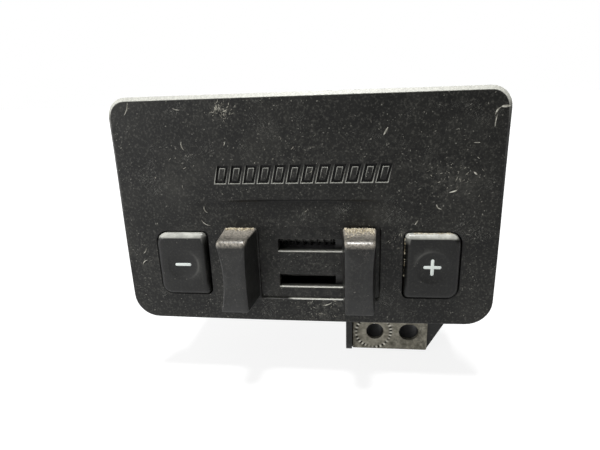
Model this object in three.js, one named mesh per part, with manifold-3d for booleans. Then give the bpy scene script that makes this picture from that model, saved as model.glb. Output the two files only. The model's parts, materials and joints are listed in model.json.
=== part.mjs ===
// Squeeze-lever brake controller unit for a vehicle dash.
// Millimetres. +X is to the right of a person facing the unit, +Y goes into the dash, +Z is up.
// The origin is the centre of the plane where the bezel's rim seats on the dash.

import * as THREE from 'three';
import { mergeVertices } from 'three/addons/utils/BufferGeometryUtils.js';
import Module from 'manifold-3d';

const wasm = await Module();
wasm.setup();

// ---------- driving dimensions ----------

// Bezel
const BEZEL_WIDTH = 125;
const BEZEL_HEIGHT = 77.3;
const BEZEL_DEPTH = 3;
const BEZEL_SKIN = 2.2;
const BEZEL_RIM = 2.4;
const BEZEL_EDGE_ROUND = 1.2;
const TOP_CORNER_RADIUS = 6.4;
const BOTTOM_CORNER_RADIUS = 8.5;

// Height of the row of keys and levers above the bezel's lower edge
const CONTROL_ROW_RISE = 21.25;

// Press keys
const KEY_SPACING = 84;
const KEY_WINDOW_WIDTH = 18.2;
const KEY_WINDOW_HEIGHT = 23.2;
const KEY_OUTER_RADIUS = 4;
const KEY_INNER_RADIUS = 1.8;
const KEY_CLEARANCE = 0.35;
const KEY_PROUD = 1.8;
const KEY_EDGE_ROUND = 1.4;
const KEY_LIP = 1.2;
const KEY_LIP_THICKNESS = 1.2;
const KEY_TRAVEL = 1.2;
const KEY_STEM_RADIUS = 2.2;
const DISH_DIAMETER = 11;
const DISH_DEPTH = 0.5;
const DISH_SLOPE = 0.7;
const SYMBOL_LENGTH = 5.7;
const SYMBOL_STROKE = 1.05;
const SYMBOL_THICKNESS = 0.9;
const SYMBOL_CLEARANCE = 0.15;

// Squeeze levers
const LEVER_SPACING = 39.7;
const LEVER_MID_X = -1.35;
const LEVER_WIDTH = 11;
const LEVER_HEIGHT = 25.2;
const LEVER_TIP_WIDTH = 9;
const LEVER_TIP_HEIGHT = 24.2;
const LEVER_REACH = 12;
const LEVER_BASE_RISE = 0.3;
const LEVER_TIP_DROP = 0.25;
const FIXED_LEVER_LEAN = 0.7;
const FIXED_LEVER_OUTER_WAIST = 1.4;
const FIXED_LEVER_INNER_WAIST = 0.3;
const SLIDING_LEVER_OUTER_WAIST = 0.7;
const LEVER_CORNER_RADIUS = 0.9;
const LEVER_TIP_ROUND = 1.6;
const LEVER_TRAVEL = 20;
const LEVER_PEG_RADIUS = 1.6;
const LEVER_PEG_CLEARANCE = 0.15;

// Recessed slot guide between the levers
const POCKET_WIDTH = 40.7;
const POCKET_HEIGHT = 26.1;
const POCKET_CENTRE_X = 5;
const POCKET_RISE = 0.25;
const POCKET_DEPTH = 1;
const SLOT_LEFT_X = -8.7;
const UPPER_SLOT_RISE = 6.5;
const LOWER_SLOT_DROP = 6.45;
const UPPER_SLOT_HEIGHT = 4.3;
const LOWER_SLOT_HEIGHT = 4.6;
const GUIDE_FLANGE = 1.2;
const GUIDE_FLANGE_THICKNESS = 1.5;
const STEM_WIDTH = 8.2;
const STEM_CLEARANCE = 0.4;

// Carriage, rods, return spring
const CARRIAGE_WIDTH = 16;
const CARRIAGE_DEPTH = 8;
const CARRIAGE_BORDER = 5;
const CARRIAGE_ROOM = 1;
const ROD_RADIUS = 1.5;
const ROD_CLEARANCE = 0.12;
const CHASSIS_WALL = 3;
const CHASSIS_END_ROOM = 2;
const SPRING_COILS = 10;
const SPRING_WIRE = 0.6;
const SPRING_RADIUS = 2.35;

// Engraved gauge row and thumb scoop on the bezel
const GAUGE_CELLS = 12;
const GAUGE_LENGTH = 57;
const GAUGE_HEIGHT = 5.9;
const GAUGE_RISE = 31;
const GAUGE_STROKE = 0.9;
const GAUGE_GAP = 1.1;
const GAUGE_DEPTH = 0.5;
const SCOOP_WIDTH = 69;
const SCOOP_TOP_RISE = 22.3;
const SCOOP_BOTTOM_RISE = 13.8;
const SCOOP_DEPTH = 0.7;

// Gap left between pieces that rest on each other
const SEAT_GAP = 0.3;

// Control board and what it carries
const BOARD_FRONT_Y = 14;
const BOARD_THICKNESS = 1.6;
const BOARD_MARGIN = 4;
const SWITCH_SIZE = 6;
const SWITCH_HEIGHT = 3.4;
const PLUNGER_RADIUS = 1.7;
const PLUNGER_CLEARANCE = 0.15;
const PLUNGER_PROUD = 1;
const SWITCH_FLOOR = 0.5;
const BACKLIGHT_OFFSET = 6;
const BACKLIGHT_SIZE = 2.8;
const BACKLIGHT_HEIGHT = 1.2;
const CHIP_SIZE = 12;
const CHIP_HEIGHT = 1.4;
const CHIP_X = 20;
const DRIVER_WIDTH = 14;
const DRIVER_LENGTH = 10;
const DRIVER_HEIGHT = 4.4;
const DRIVER_X = 25;
const CAPACITOR_RADIUS = 5;
const CAPACITOR_LENGTH = 13;
const CAPACITOR_PITCH = 12;
const CAPACITOR_X = -36;
const COIL_SIZE = 12;
const COIL_HEIGHT = 7;
const COIL_X = -12;
const TRACK_THICKNESS = 0.5;
const TRACK_HEIGHT = 8;
const TRACK_SPARE = 6;
const WIPER_WIDTH = 6;
const WIPER_HEIGHT = 5;
const WIPER_GAP = 0.2;

// Header connector
const CONNECTOR_WIDTH = 32;
const CONNECTOR_HEIGHT = 14;
const CONNECTOR_WALL = 1.8;
const CONNECTOR_LENGTH = 28;
const CONNECTOR_CAVITY = 18;
const CONNECTOR_X = -14;
const CONNECTOR_RISE = 23.4;
const CONTACT_COUNT = 6;
const CONTACT_SIZE = 1.2;
const CONTACT_PITCH = 4.2;

// Rear housing
const HOUSING_TOP_INSET = 9.65;
const HOUSING_ROOM = 0.8;
const HOUSING_DEPTH = 38;
const HOUSING_WALL = 2;
const HOUSING_RADIUS = 4;
const RIB_INSET = 14;
const RIB_WIDTH = 1.6;
const RIB_HEIGHT = 1.4;
const EAR_LENGTH = 5.2;
const EAR_WIDTH = 9;
const EAR_THICKNESS = 2.5;
const EAR_INSET = 10.5;
const BOSS_HEIGHT = 3;

// Fasteners
const SCREW_SHANK_RADIUS = 1.25;
const SCREW_HEAD_RADIUS = 2.6;
const SCREW_HEAD_HEIGHT = 1.8;
const SCREW_HOLE_CLEARANCE = 0.2;
const BOARD_SCREW_INSET = 7;
const BOARD_SCREW_DEPTH = 6;
const EAR_SCREW_DEPTH = 4;

// Mounting foot below the housing
const FOOT_LEFT_X = 13.9;
const FOOT_RIGHT_X = 52;
const FOOT_BELOW_HOLES = 8.35;
const FOOT_FACE_Y = 15;
const FOOT_PLATE_THICKNESS = 1.5;
const FOOT_WALL = 4;
const FOOT_RIB_WIDTH = 2.3;
const FOOT_RIB_PROUD = 4;
const FOOT_SLANT_WIDTH = 6.6;
const FOOT_SLANT_HEIGHT = 12;
const FOOT_FLARE_WIDTH = 4.5;
const FOOT_FLARE_HEIGHT = 2.2;
const FOOT_FLANGE_THICKNESS = 3;
const FOOT_FLANGE_FRONT_Y = 6;
const FOOT_BOSS_LENGTH = 10;
const FOOT_BOSS_WALL = 2.6;
const BOLT_HOLE_RADIUS = 3.3;
const BOLT_HOLE_DROP = 18.65;
const BOLT_HOLE_X = 25.2;
const BOLT_SLOT_X = 38.3;
const BOLT_SLOT_STRETCH = 0.8;

// Retaining clips on top of the housing
const CLIP_SPACING = 70;
const CLIP_WIDTH = 12;
const CLIP_THICKNESS = 0.8;
const CLIP_RISE = 3.4;
const CLIP_LENGTH = 18;

// ---------- finishes ----------

function finish(colour, roughness, metalness) {
  return new THREE.MeshStandardMaterial({ color: colour, roughness, metalness });
}

const BLACK_ABS = finish('#2e2e2c', 0.55, 0);
const BLACK_NYLON = finish('#262625', 0.65, 0);
const LIGHT_GUIDE = finish('#dfe6e0', 0.4, 0);
const STEEL = finish('#b9bab8', 0.35, 1);
const WORN_STEEL = finish('#7d7a6e', 0.6, 0.8);
const BOARD_MASK = finish('#1a211d', 0.45, 0);
const CHIP_BLACK = finish('#1a1a1b', 0.6, 0);
const ACETAL = finish('#d8d4c8', 0.5, 0);
const BLACK_ACETAL = finish('#1f1f1f', 0.45, 0);
const TIN = finish('#c7c4b8', 0.3, 1);

// ---------- shape helpers ----------

const group = new THREE.Group();
const EPS = 0.5; // how far a cutter runs past the face it cuts

function place(name, geometry, material) {
  const mesh = new THREE.Mesh(geometry, material);
  mesh.name = name;
  group.add(mesh);
  return mesh;
}

function toSolid(geometry) {
  const bare = geometry.clone();
  bare.deleteAttribute('normal');
  bare.deleteAttribute('uv');
  const merged = mergeVertices(bare, 1e-4);
  return new wasm.Manifold(
    new wasm.Mesh({
      numProp: 3,
      vertProperties: new Float32Array(merged.attributes.position.array),
      triVerts: new Uint32Array(merged.index.array),
    }),
  );
}

function toGeometry(solid) {
  const mesh = solid.getMesh();
  const geometry = new THREE.BufferGeometry();
  geometry.setAttribute('position', new THREE.BufferAttribute(mesh.vertProperties.slice(), 3));
  geometry.setIndex(new THREE.BufferAttribute(mesh.triVerts.slice(), 1));
  geometry.computeVertexNormals();
  return geometry;
}

function carve(base, cutters, additions = []) {
  let solid = toSolid(base);
  for (const addition of additions) solid = solid.add(toSolid(addition));
  for (const cutter of cutters) solid = solid.subtract(toSolid(cutter));
  return toGeometry(solid);
}

// Box between two corners.
function box(x0, x1, y0, y1, z0, z1) {
  const geometry = new THREE.BoxGeometry(x1 - x0, y1 - y0, z1 - z0);
  return geometry.translate((x0 + x1) / 2, (y0 + y1) / 2, (z0 + z1) / 2);
}

// Cylinder along Y from y0 to y1.
function rodY(x, z, radius, y0, y1, sides = 20) {
  const geometry = new THREE.CylinderGeometry(radius, radius, y1 - y0, sides);
  return geometry.translate(x, (y0 + y1) / 2, z);
}

// Cylinder along X from x0 to x1.
function rodX(y, z, radius, x0, x1, sides = 16) {
  const geometry = new THREE.CylinderGeometry(radius, radius, x1 - x0, sides);
  return geometry.rotateZ(Math.PI / 2).translate((x0 + x1) / 2, y, z);
}

// Outline in X and Z with its own radius at each corner: left/right by top/bottom.
function roundedOutline(x0, x1, z0, z1, radii) {
  const { leftTop, rightTop, rightBottom, leftBottom } = radii;
  const shape = new THREE.Shape();
  shape.moveTo(x0 + leftBottom, z0);
  shape.lineTo(x1 - rightBottom, z0);
  shape.absarc(x1 - rightBottom, z0 + rightBottom, rightBottom, -Math.PI / 2, 0);
  shape.lineTo(x1, z1 - rightTop);
  shape.absarc(x1 - rightTop, z1 - rightTop, rightTop, 0, Math.PI / 2);
  shape.lineTo(x0 + leftTop, z1);
  shape.absarc(x0 + leftTop, z1 - leftTop, leftTop, Math.PI / 2, Math.PI);
  shape.lineTo(x0, z0 + leftBottom);
  shape.absarc(x0 + leftBottom, z0 + leftBottom, leftBottom, Math.PI, Math.PI * 1.5);
  return shape;
}

function evenRadii(radius) {
  return { leftTop: radius, rightTop: radius, rightBottom: radius, leftBottom: radius };
}

// Slab of an X-Z outline between two Y planes.
function slab(shape, y0, y1, curveSegments = 5) {
  const geometry = new THREE.ExtrudeGeometry(shape, { depth: y1 - y0, bevelEnabled: false, curveSegments });
  return geometry.rotateX(Math.PI / 2).translate(0, y1, 0);
}

// The same slab with its front edge rounded over.
function frontRoundedSlab(shape, y0, y1, round, curveSegments = 5) {
  const geometry = new THREE.ExtrudeGeometry(shape, {
    depth: y1 - y0,
    bevelEnabled: true,
    bevelThickness: round,
    bevelSize: round,
    bevelOffset: -round,
    bevelSegments: 3,
    curveSegments,
  });
  const whole = toSolid(geometry.rotateX(Math.PI / 2).translate(0, y1 + round, 0));
  const size = BEZEL_WIDTH + BEZEL_HEIGHT;
  return toGeometry(whole.subtract(toSolid(box(-size, size, y1, y1 + 3 * round, -size, size))));
}

// Section in Y and Z, run along X from x0 to x1.
function alongX(section, x0, x1) {
  const shape = new THREE.Shape(section.map(([y, z]) => new THREE.Vector2(y, z)));
  const geometry = new THREE.ExtrudeGeometry(shape, { depth: x1 - x0, bevelEnabled: false });
  return geometry.rotateX(Math.PI / 2).rotateZ(Math.PI / 2).translate(x0, 0, 0);
}

// Closed skin over rings that all have the same number of points, capped at both ends.
function loft(rings) {
  const count = rings[0].length;
  const points = rings.flat();
  const triangles = [];
  for (let ring = 0; ring + 1 < rings.length; ring += 1) {
    for (let i = 0; i < count; i += 1) {
      const a = ring * count + i;
      const b = ring * count + ((i + 1) % count);
      triangles.push(a, b, b + count, a, b + count, a + count);
    }
  }
  const last = (rings.length - 1) * count;
  for (const [start, flip] of [[0, true], [last, false]]) {
    const middle = new THREE.Vector3();
    for (let i = 0; i < count; i += 1) middle.add(points[start + i]);
    points.push(middle.divideScalar(count));
    for (let i = 0; i < count; i += 1) {
      const a = start + i;
      const b = start + ((i + 1) % count);
      if (flip) triangles.push(b, a, points.length - 1);
      else triangles.push(a, b, points.length - 1);
    }
  }
  const geometry = new THREE.BufferGeometry().setFromPoints(points);
  geometry.setIndex(triangles);
  geometry.computeVertexNormals();
  return geometry;
}

// Pan-head screw along Y: its head's seat is at seatY and its tip at tipY.
function screwY(x, z, seatY, tipY) {
  const towardsTip = Math.sign(tipY - seatY);
  const length = Math.abs(tipY - seatY);
  const profile = [
    new THREE.Vector2(0, -length),
    new THREE.Vector2(SCREW_SHANK_RADIUS * 0.6, -length),
    new THREE.Vector2(SCREW_SHANK_RADIUS, -length + SCREW_SHANK_RADIUS),
    new THREE.Vector2(SCREW_SHANK_RADIUS, 0),
    new THREE.Vector2(SCREW_HEAD_RADIUS, 0),
    new THREE.Vector2(SCREW_HEAD_RADIUS * 0.95, SCREW_HEAD_HEIGHT * 0.6),
    new THREE.Vector2(SCREW_HEAD_RADIUS * 0.6, SCREW_HEAD_HEIGHT),
    new THREE.Vector2(0, SCREW_HEAD_HEIGHT),
  ];
  const geometry = new THREE.LatheGeometry(profile, 12);
  if (towardsTip > 0) geometry.rotateX(Math.PI);
  return geometry.translate(x, seatY, z);
}

// ---------- places worked out from the sizes above ----------

const CONTROL_ROW_Z = -BEZEL_HEIGHT / 2 + CONTROL_ROW_RISE;
const POCKET_CENTRE_Z = CONTROL_ROW_Z + POCKET_RISE;
const UPPER_SLOT_Z = CONTROL_ROW_Z + UPPER_SLOT_RISE;
const LOWER_SLOT_Z = CONTROL_ROW_Z - LOWER_SLOT_DROP;
const GAUGE_Z = CONTROL_ROW_Z + GAUGE_RISE;
const SCOOP_TOP_Z = CONTROL_ROW_Z + SCOOP_TOP_RISE;
const SCOOP_BOTTOM_Z = CONTROL_ROW_Z + SCOOP_BOTTOM_RISE;
const CONNECTOR_Z = CONTROL_ROW_Z + CONNECTOR_RISE;
const BEZEL_FRONT_Y = -BEZEL_DEPTH;
const PANEL_BACK_Y = BEZEL_FRONT_Y + BEZEL_SKIN;
const HALF_WIDTH = BEZEL_WIDTH / 2;
const HALF_HEIGHT = BEZEL_HEIGHT / 2;
const KEYS = [
  { side: 'minus', x: -KEY_SPACING / 2, outerSign: -1 },
  { side: 'plus', x: KEY_SPACING / 2, outerSign: 1 },
];
const FIXED_LEVER_X = LEVER_MID_X - LEVER_SPACING / 2;
const SLIDING_LEVER_X = LEVER_MID_X + LEVER_SPACING / 2;
const FIXED_LEVER = {
  x: FIXED_LEVER_X,
  lean: -FIXED_LEVER_LEAN,
  outerSign: -1,
  outerWaist: FIXED_LEVER_OUTER_WAIST,
  innerWaist: FIXED_LEVER_INNER_WAIST,
};
const SLIDING_LEVER = {
  x: SLIDING_LEVER_X,
  lean: 0,
  outerSign: 1,
  outerWaist: SLIDING_LEVER_OUTER_WAIST,
  innerWaist: 0,
};
const SLOT_RIGHT_X = SLIDING_LEVER_X + STEM_WIDTH / 2 + STEM_CLEARANCE;
const SLOTS = [
  { z: UPPER_SLOT_Z, height: UPPER_SLOT_HEIGHT },
  { z: LOWER_SLOT_Z, height: LOWER_SLOT_HEIGHT },
];
const GUIDE_FRONT_Y = BEZEL_FRONT_Y + POCKET_DEPTH;
const GUIDE_FLANGE_Y = PANEL_BACK_Y + SEAT_GAP;
const GUIDE_BACK_Y = GUIDE_FLANGE_Y + GUIDE_FLANGE_THICKNESS;
const CARRIAGE_FRONT_Y = GUIDE_BACK_Y + 2 * SEAT_GAP;
const CARRIAGE_BACK_Y = CARRIAGE_FRONT_Y + CARRIAGE_DEPTH;
const ROD_Y = (CARRIAGE_FRONT_Y + CARRIAGE_BACK_Y) / 2 + STEM_CLEARANCE;
const CARRIAGE_TOP_Z = UPPER_SLOT_Z + CARRIAGE_BORDER;
const CARRIAGE_BOTTOM_Z = LOWER_SLOT_Z - CARRIAGE_BORDER;
const CARRIAGE_LEFT_X = SLIDING_LEVER_X - CARRIAGE_WIDTH / 2;
const CARRIAGE_RIGHT_X = SLIDING_LEVER_X + CARRIAGE_WIDTH / 2;
const CHASSIS_LEFT_X = CARRIAGE_LEFT_X - LEVER_TRAVEL - SPRING_COILS * SPRING_WIRE - CHASSIS_END_ROOM;
const CHASSIS_RIGHT_X = CARRIAGE_RIGHT_X + SEAT_GAP;
const HOUSING_TOP_Z = BEZEL_HEIGHT / 2 - HOUSING_TOP_INSET;
const CHASSIS_BOTTOM_Z = CARRIAGE_BOTTOM_Z - CARRIAGE_ROOM - CHASSIS_WALL / 2;
const GUIDE_BOTTOM_Z = POCKET_CENTRE_Z - POCKET_HEIGHT / 2 - GUIDE_FLANGE;
const HOUSING_BOTTOM_Z = Math.min(GUIDE_BOTTOM_Z, CHASSIS_BOTTOM_Z) - HOUSING_ROOM - HOUSING_WALL;
const HOUSING_WIDTH = KEY_SPACING + KEY_WINDOW_WIDTH + 2 * (KEY_LIP + HOUSING_ROOM + HOUSING_WALL);
const HOUSING_MID_Z = (HOUSING_TOP_Z + HOUSING_BOTTOM_Z) / 2;
const EARS = [-1, 1].flatMap((side) =>
  [HOUSING_BOTTOM_Z + EAR_INSET, HOUSING_TOP_Z - EAR_INSET].map((z) => ({
    x: side * (HOUSING_WIDTH / 2 + SCREW_HEAD_RADIUS + SEAT_GAP),
    z,
    side,
  })),
);
const BOARD_BACK_Y = BOARD_FRONT_Y + BOARD_THICKNESS;
const BOARD_RIGHT_X = HOUSING_WIDTH / 2 - BOARD_MARGIN;
const BOARD_TOP_Z = HOUSING_TOP_Z - BOARD_MARGIN;
const BOARD_BOTTOM_Z = HOUSING_BOTTOM_Z + BOARD_MARGIN;
const BOARD_SCREW_Z = BOARD_TOP_Z - BOARD_SCREW_INSET;
const BOARD_SCREWS = [
  { name: 'left', x: -BOARD_RIGHT_X + BOARD_SCREW_INSET },
  { name: 'right', x: BOARD_RIGHT_X - BOARD_SCREW_INSET },
];
const SCREW_BORE = SCREW_SHANK_RADIUS + SCREW_HOLE_CLEARANCE;
const LEVER_PEGS = [-1, 1].map((row) => CONTROL_ROW_Z + row * LEVER_HEIGHT * 0.3);
const BOSS_RADIUS = SCREW_BORE + 1.6;

function bezelOutline(inset) {
  return roundedOutline(
    -HALF_WIDTH + inset,
    HALF_WIDTH - inset,
    -HALF_HEIGHT + inset,
    HALF_HEIGHT - inset,
    {
      leftTop: TOP_CORNER_RADIUS - inset,
      rightTop: TOP_CORNER_RADIUS - inset,
      rightBottom: BOTTOM_CORNER_RADIUS - inset,
      leftBottom: BOTTOM_CORNER_RADIUS - inset,
    },
  );
}

// Key outline: larger corners on the side away from the levers.
function keyOutline(key, grow) {
  const outer = KEY_OUTER_RADIUS + grow;
  const inner = KEY_INNER_RADIUS + grow;
  const leftRadius = key.outerSign < 0 ? outer : inner;
  const rightRadius = key.outerSign < 0 ? inner : outer;
  return roundedOutline(
    key.x - KEY_WINDOW_WIDTH / 2 - grow,
    key.x + KEY_WINDOW_WIDTH / 2 + grow,
    CONTROL_ROW_Z - KEY_WINDOW_HEIGHT / 2 - grow,
    CONTROL_ROW_Z + KEY_WINDOW_HEIGHT / 2 + grow,
    { leftTop: leftRadius, rightTop: rightRadius, rightBottom: rightRadius, leftBottom: leftRadius },
  );
}

function pocketOutline(grow) {
  return roundedOutline(
    POCKET_CENTRE_X - POCKET_WIDTH / 2 - grow,
    POCKET_CENTRE_X + POCKET_WIDTH / 2 + grow,
    POCKET_CENTRE_Z - POCKET_HEIGHT / 2 - grow,
    POCKET_CENTRE_Z + POCKET_HEIGHT / 2 + grow,
    evenRadii(1.2 + Math.max(grow, -0.6)),
  );
}

// ---------- bezel ----------

// One slanted, hollow gauge cell: an outer four-sided groove around an island.
function gaugeCell(index) {
  const pitch = GAUGE_LENGTH / GAUGE_CELLS;
  const left = -GAUGE_LENGTH / 2 + index * pitch + GAUGE_GAP / 2;
  const right = left + pitch - GAUGE_GAP;
  const slant = GAUGE_HEIGHT * 0.12;
  const low = GAUGE_Z - GAUGE_HEIGHT / 2;
  const high = GAUGE_Z + GAUGE_HEIGHT / 2;
  const shape = new THREE.Shape();
  shape.moveTo(left - slant, low);
  shape.lineTo(right - slant, low);
  shape.lineTo(right + slant, high);
  shape.lineTo(left + slant, high);
  shape.closePath();
  const island = new THREE.Path();
  island.moveTo(left - slant + GAUGE_STROKE, low + GAUGE_STROKE);
  island.lineTo(left + slant + GAUGE_STROKE, high - GAUGE_STROKE);
  island.lineTo(right + slant - GAUGE_STROKE, high - GAUGE_STROKE);
  island.lineTo(right - slant - GAUGE_STROKE, low + GAUGE_STROKE);
  island.closePath();
  shape.holes.push(island);
  return slab(shape, BEZEL_FRONT_Y - EPS, BEZEL_FRONT_Y + GAUGE_DEPTH, 1);
}

// Wedge-shaped cut: deepest along its top crease and running out at its lower edge.
function scoopCutter() {
  const front = BEZEL_FRONT_Y - EPS;
  const creaseZ = SCOOP_TOP_Z - SCOOP_DEPTH;
  const half = SCOOP_WIDTH / 2;
  const section = [
    [front, SCOOP_TOP_Z],
    [BEZEL_FRONT_Y, SCOOP_TOP_Z],
    [BEZEL_FRONT_Y + SCOOP_DEPTH, creaseZ],
    [BEZEL_FRONT_Y, SCOOP_BOTTOM_Z],
    [front, SCOOP_BOTTOM_Z],
  ];
  const rings = [-half, half].map((x) => section.map(([y, z]) => new THREE.Vector3(x + LEVER_MID_X, y, z)));
  return loft(rings);
}

function buildBezel() {
  let solid = toSolid(frontRoundedSlab(bezelOutline(0), BEZEL_FRONT_Y, 0, BEZEL_EDGE_ROUND, 6));
  // Hollow of the back, inside the rim.
  solid = solid.subtract(toSolid(slab(bezelOutline(BEZEL_RIM), PANEL_BACK_Y, EPS)));
  const bosses = [
    ...EARS.map((ear) => rodY(ear.x, ear.z, BOSS_RADIUS, PANEL_BACK_Y - 0.2, BOSS_HEIGHT, 16)),
    ...BOARD_SCREWS.map((screw) =>
      rodY(screw.x, BOARD_SCREW_Z, BOSS_RADIUS, PANEL_BACK_Y - 0.2, BOARD_FRONT_Y - SEAT_GAP, 16),
    ),
  ];
  const cuts = [
    ...KEYS.map((key) => slab(keyOutline(key, 0), BEZEL_FRONT_Y - EPS, EPS)),
    slab(pocketOutline(0), BEZEL_FRONT_Y - EPS, EPS),
    scoopCutter(),
    ...EARS.map((ear) => rodY(ear.x, ear.z, SCREW_BORE, BEZEL_FRONT_Y + 1, BOSS_HEIGHT + EPS, 12)),
    ...BOARD_SCREWS.map((screw) =>
      rodY(screw.x, BOARD_SCREW_Z, SCREW_BORE, BOARD_FRONT_Y - BOARD_SCREW_DEPTH - 1, BOARD_FRONT_Y + EPS, 12),
    ),
    ...LEVER_PEGS.map((z) =>
      rodY(FIXED_LEVER_X, z, LEVER_PEG_RADIUS + LEVER_PEG_CLEARANCE, BEZEL_FRONT_Y - EPS, EPS, 12),
    ),
  ];
  for (let index = 0; index < GAUGE_CELLS; index += 1) cuts.push(gaugeCell(index));
  for (const boss of bosses) solid = solid.add(toSolid(boss));
  for (const cut of cuts) solid = solid.subtract(toSolid(cut));
  return toGeometry(solid);
}

place('bezel', buildBezel(), BLACK_ABS);

// ---------- slot guide ----------

function slotCutter(slot, y0, y1) {
  return box(SLOT_LEFT_X, SLOT_RIGHT_X, y0, y1, slot.z - slot.height / 2, slot.z + slot.height / 2);
}

place(
  'slot_guide',
  carve(
    slab(pocketOutline(-SEAT_GAP), GUIDE_FRONT_Y, GUIDE_BACK_Y),
    SLOTS.map((slot) => slotCutter(slot, GUIDE_FRONT_Y - EPS, GUIDE_BACK_Y + EPS)),
    [slab(pocketOutline(GUIDE_FLANGE), GUIDE_FLANGE_Y, GUIDE_BACK_Y)],
  ),
  BLACK_ABS,
);

// ---------- levers ----------

// Front outline of a lever: straight top and bottom, both flanks drawn in at mid height.
function leverRing(lever, width, height, share, y) {
  const points = [];
  const centreX = lever.x + lever.lean * share;
  const centreZ = CONTROL_ROW_Z + LEVER_BASE_RISE - (LEVER_BASE_RISE + LEVER_TIP_DROP) * share;
  const corner = Math.min(LEVER_CORNER_RADIUS, width / 4);
  const flankSteps = 6;
  const flank = (sign) => {
    const waist = (sign === lever.outerSign ? lever.outerWaist : lever.innerWaist) * share;
    const reach = height / 2 - corner;
    for (let step = 0; step <= flankSteps; step += 1) {
      const share = -1 + (2 * step) / flankSteps;
      const z = reach * share * sign;
      const x = sign * (width / 2 - waist * (1 - share * share));
      points.push(new THREE.Vector3(centreX + x, y, centreZ + z));
    }
    const cornerX = sign * (width / 2 - corner);
    for (const turn of [Math.PI / 6, Math.PI / 3, Math.PI / 2]) {
      points.push(
        new THREE.Vector3(
          centreX + cornerX + sign * corner * Math.cos(turn),
          y,
          centreZ + sign * (reach + corner * Math.sin(turn)),
        ),
      );
    }
  };
  // Anticlockwise seen from the front: up the right flank, then down the left.
  flank(1);
  flank(-1);
  return points;
}

function leverBody(lever, baseY) {
  const tipY = BEZEL_FRONT_Y - LEVER_REACH;
  const length = baseY - tipY;
  const rings = [];
  const stations = [
    [0, 0],
    [0.35, 0],
    [0.7, 0],
    [1 - LEVER_TIP_ROUND / length, 0],
    [1 - (LEVER_TIP_ROUND * 0.3) / length, 0.3],
    [1, 1],
  ];
  for (const [share, rounding] of stations) {
    const shrink = 2 * rounding * LEVER_TIP_ROUND * 0.6;
    const width = LEVER_WIDTH + (LEVER_TIP_WIDTH - LEVER_WIDTH) * share - shrink;
    const height = LEVER_HEIGHT + (LEVER_TIP_HEIGHT - LEVER_HEIGHT) * share - shrink;
    rings.push(leverRing(lever, width, height, share, baseY - share * length));
  }
  return loft(rings);
}

// The fixed lever's two pegs pass through the bezel panel.
function fixedLever() {
  const pegs = LEVER_PEGS.map((z) =>
    rodY(FIXED_LEVER_X, z, LEVER_PEG_RADIUS, BEZEL_FRONT_Y - 2, PANEL_BACK_Y + 2, 12),
  );
  return carve(leverBody(FIXED_LEVER, BEZEL_FRONT_Y - SEAT_GAP), [], pegs);
}

// The sliding lever's two flat stems pass through the slots into the carriage.
function slidingLever() {
  const stems = SLOTS.map((slot) =>
    box(
      SLIDING_LEVER_X - STEM_WIDTH / 2,
      SLIDING_LEVER_X + STEM_WIDTH / 2,
      BEZEL_FRONT_Y - 2,
      CARRIAGE_FRONT_Y + 2,
      slot.z - slot.height / 2 + STEM_CLEARANCE,
      slot.z + slot.height / 2 - STEM_CLEARANCE,
    ),
  );
  return carve(leverBody(SLIDING_LEVER, BEZEL_FRONT_Y - STEM_CLEARANCE), [], stems);
}

place('fixed_lever', fixedLever(), BLACK_ABS);
place('sliding_lever', slidingLever(), BLACK_ABS);

// ---------- carriage, rods, spring, chassis ----------

function buildCarriage() {
  const body = box(
    CARRIAGE_LEFT_X,
    CARRIAGE_RIGHT_X,
    CARRIAGE_FRONT_Y,
    CARRIAGE_BACK_Y,
    CARRIAGE_BOTTOM_Z,
    CARRIAGE_TOP_Z,
  );
  const sockets = SLOTS.map((slot) =>
    box(
      SLIDING_LEVER_X - STEM_WIDTH / 2 - STEM_CLEARANCE / 2,
      SLIDING_LEVER_X + STEM_WIDTH / 2 + STEM_CLEARANCE / 2,
      CARRIAGE_FRONT_Y - EPS,
      CARRIAGE_FRONT_Y + 2 + STEM_CLEARANCE / 2,
      slot.z - slot.height / 2 + STEM_CLEARANCE / 2,
      slot.z + slot.height / 2 - STEM_CLEARANCE / 2,
    ),
  );
  const bores = SLOTS.map((slot) =>
    rodX(ROD_Y, slot.z, ROD_RADIUS + ROD_CLEARANCE, CARRIAGE_LEFT_X - EPS, CARRIAGE_RIGHT_X + EPS),
  );
  return carve(body, [...sockets, ...bores]);
}

place('slider_carriage', buildCarriage(), BLACK_ACETAL);

const ROD_LEFT_X = CHASSIS_LEFT_X - CHASSIS_WALL;
const ROD_RIGHT_X = CHASSIS_RIGHT_X + CHASSIS_WALL;
place('guide_rod_upper', rodX(ROD_Y, UPPER_SLOT_Z, ROD_RADIUS, ROD_LEFT_X, ROD_RIGHT_X), STEEL);
place('guide_rod_lower', rodX(ROD_Y, LOWER_SLOT_Z, ROD_RADIUS, ROD_LEFT_X, ROD_RIGHT_X), STEEL);

// Frame that holds both rods: two end walls joined along the top and the bottom.
function buildChassis() {
  const top = CARRIAGE_TOP_Z + CARRIAGE_ROOM;
  const bottom = CARRIAGE_BOTTOM_Z - CARRIAGE_ROOM;
  const frame = box(
    ROD_LEFT_X,
    ROD_RIGHT_X,
    CARRIAGE_FRONT_Y,
    CARRIAGE_BACK_Y,
    CHASSIS_BOTTOM_Z,
    top + CHASSIS_WALL / 2,
  );
  const window = box(CHASSIS_LEFT_X, CHASSIS_RIGHT_X, CARRIAGE_FRONT_Y - EPS, CARRIAGE_BACK_Y + EPS, bottom, top);
  const bores = SLOTS.map((slot) =>
    rodX(ROD_Y, slot.z, ROD_RADIUS + ROD_CLEARANCE, ROD_LEFT_X - EPS, ROD_RIGHT_X + EPS),
  );
  return carve(frame, [window, ...bores]);
}

place('slider_chassis', buildChassis(), BLACK_NYLON);

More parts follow.
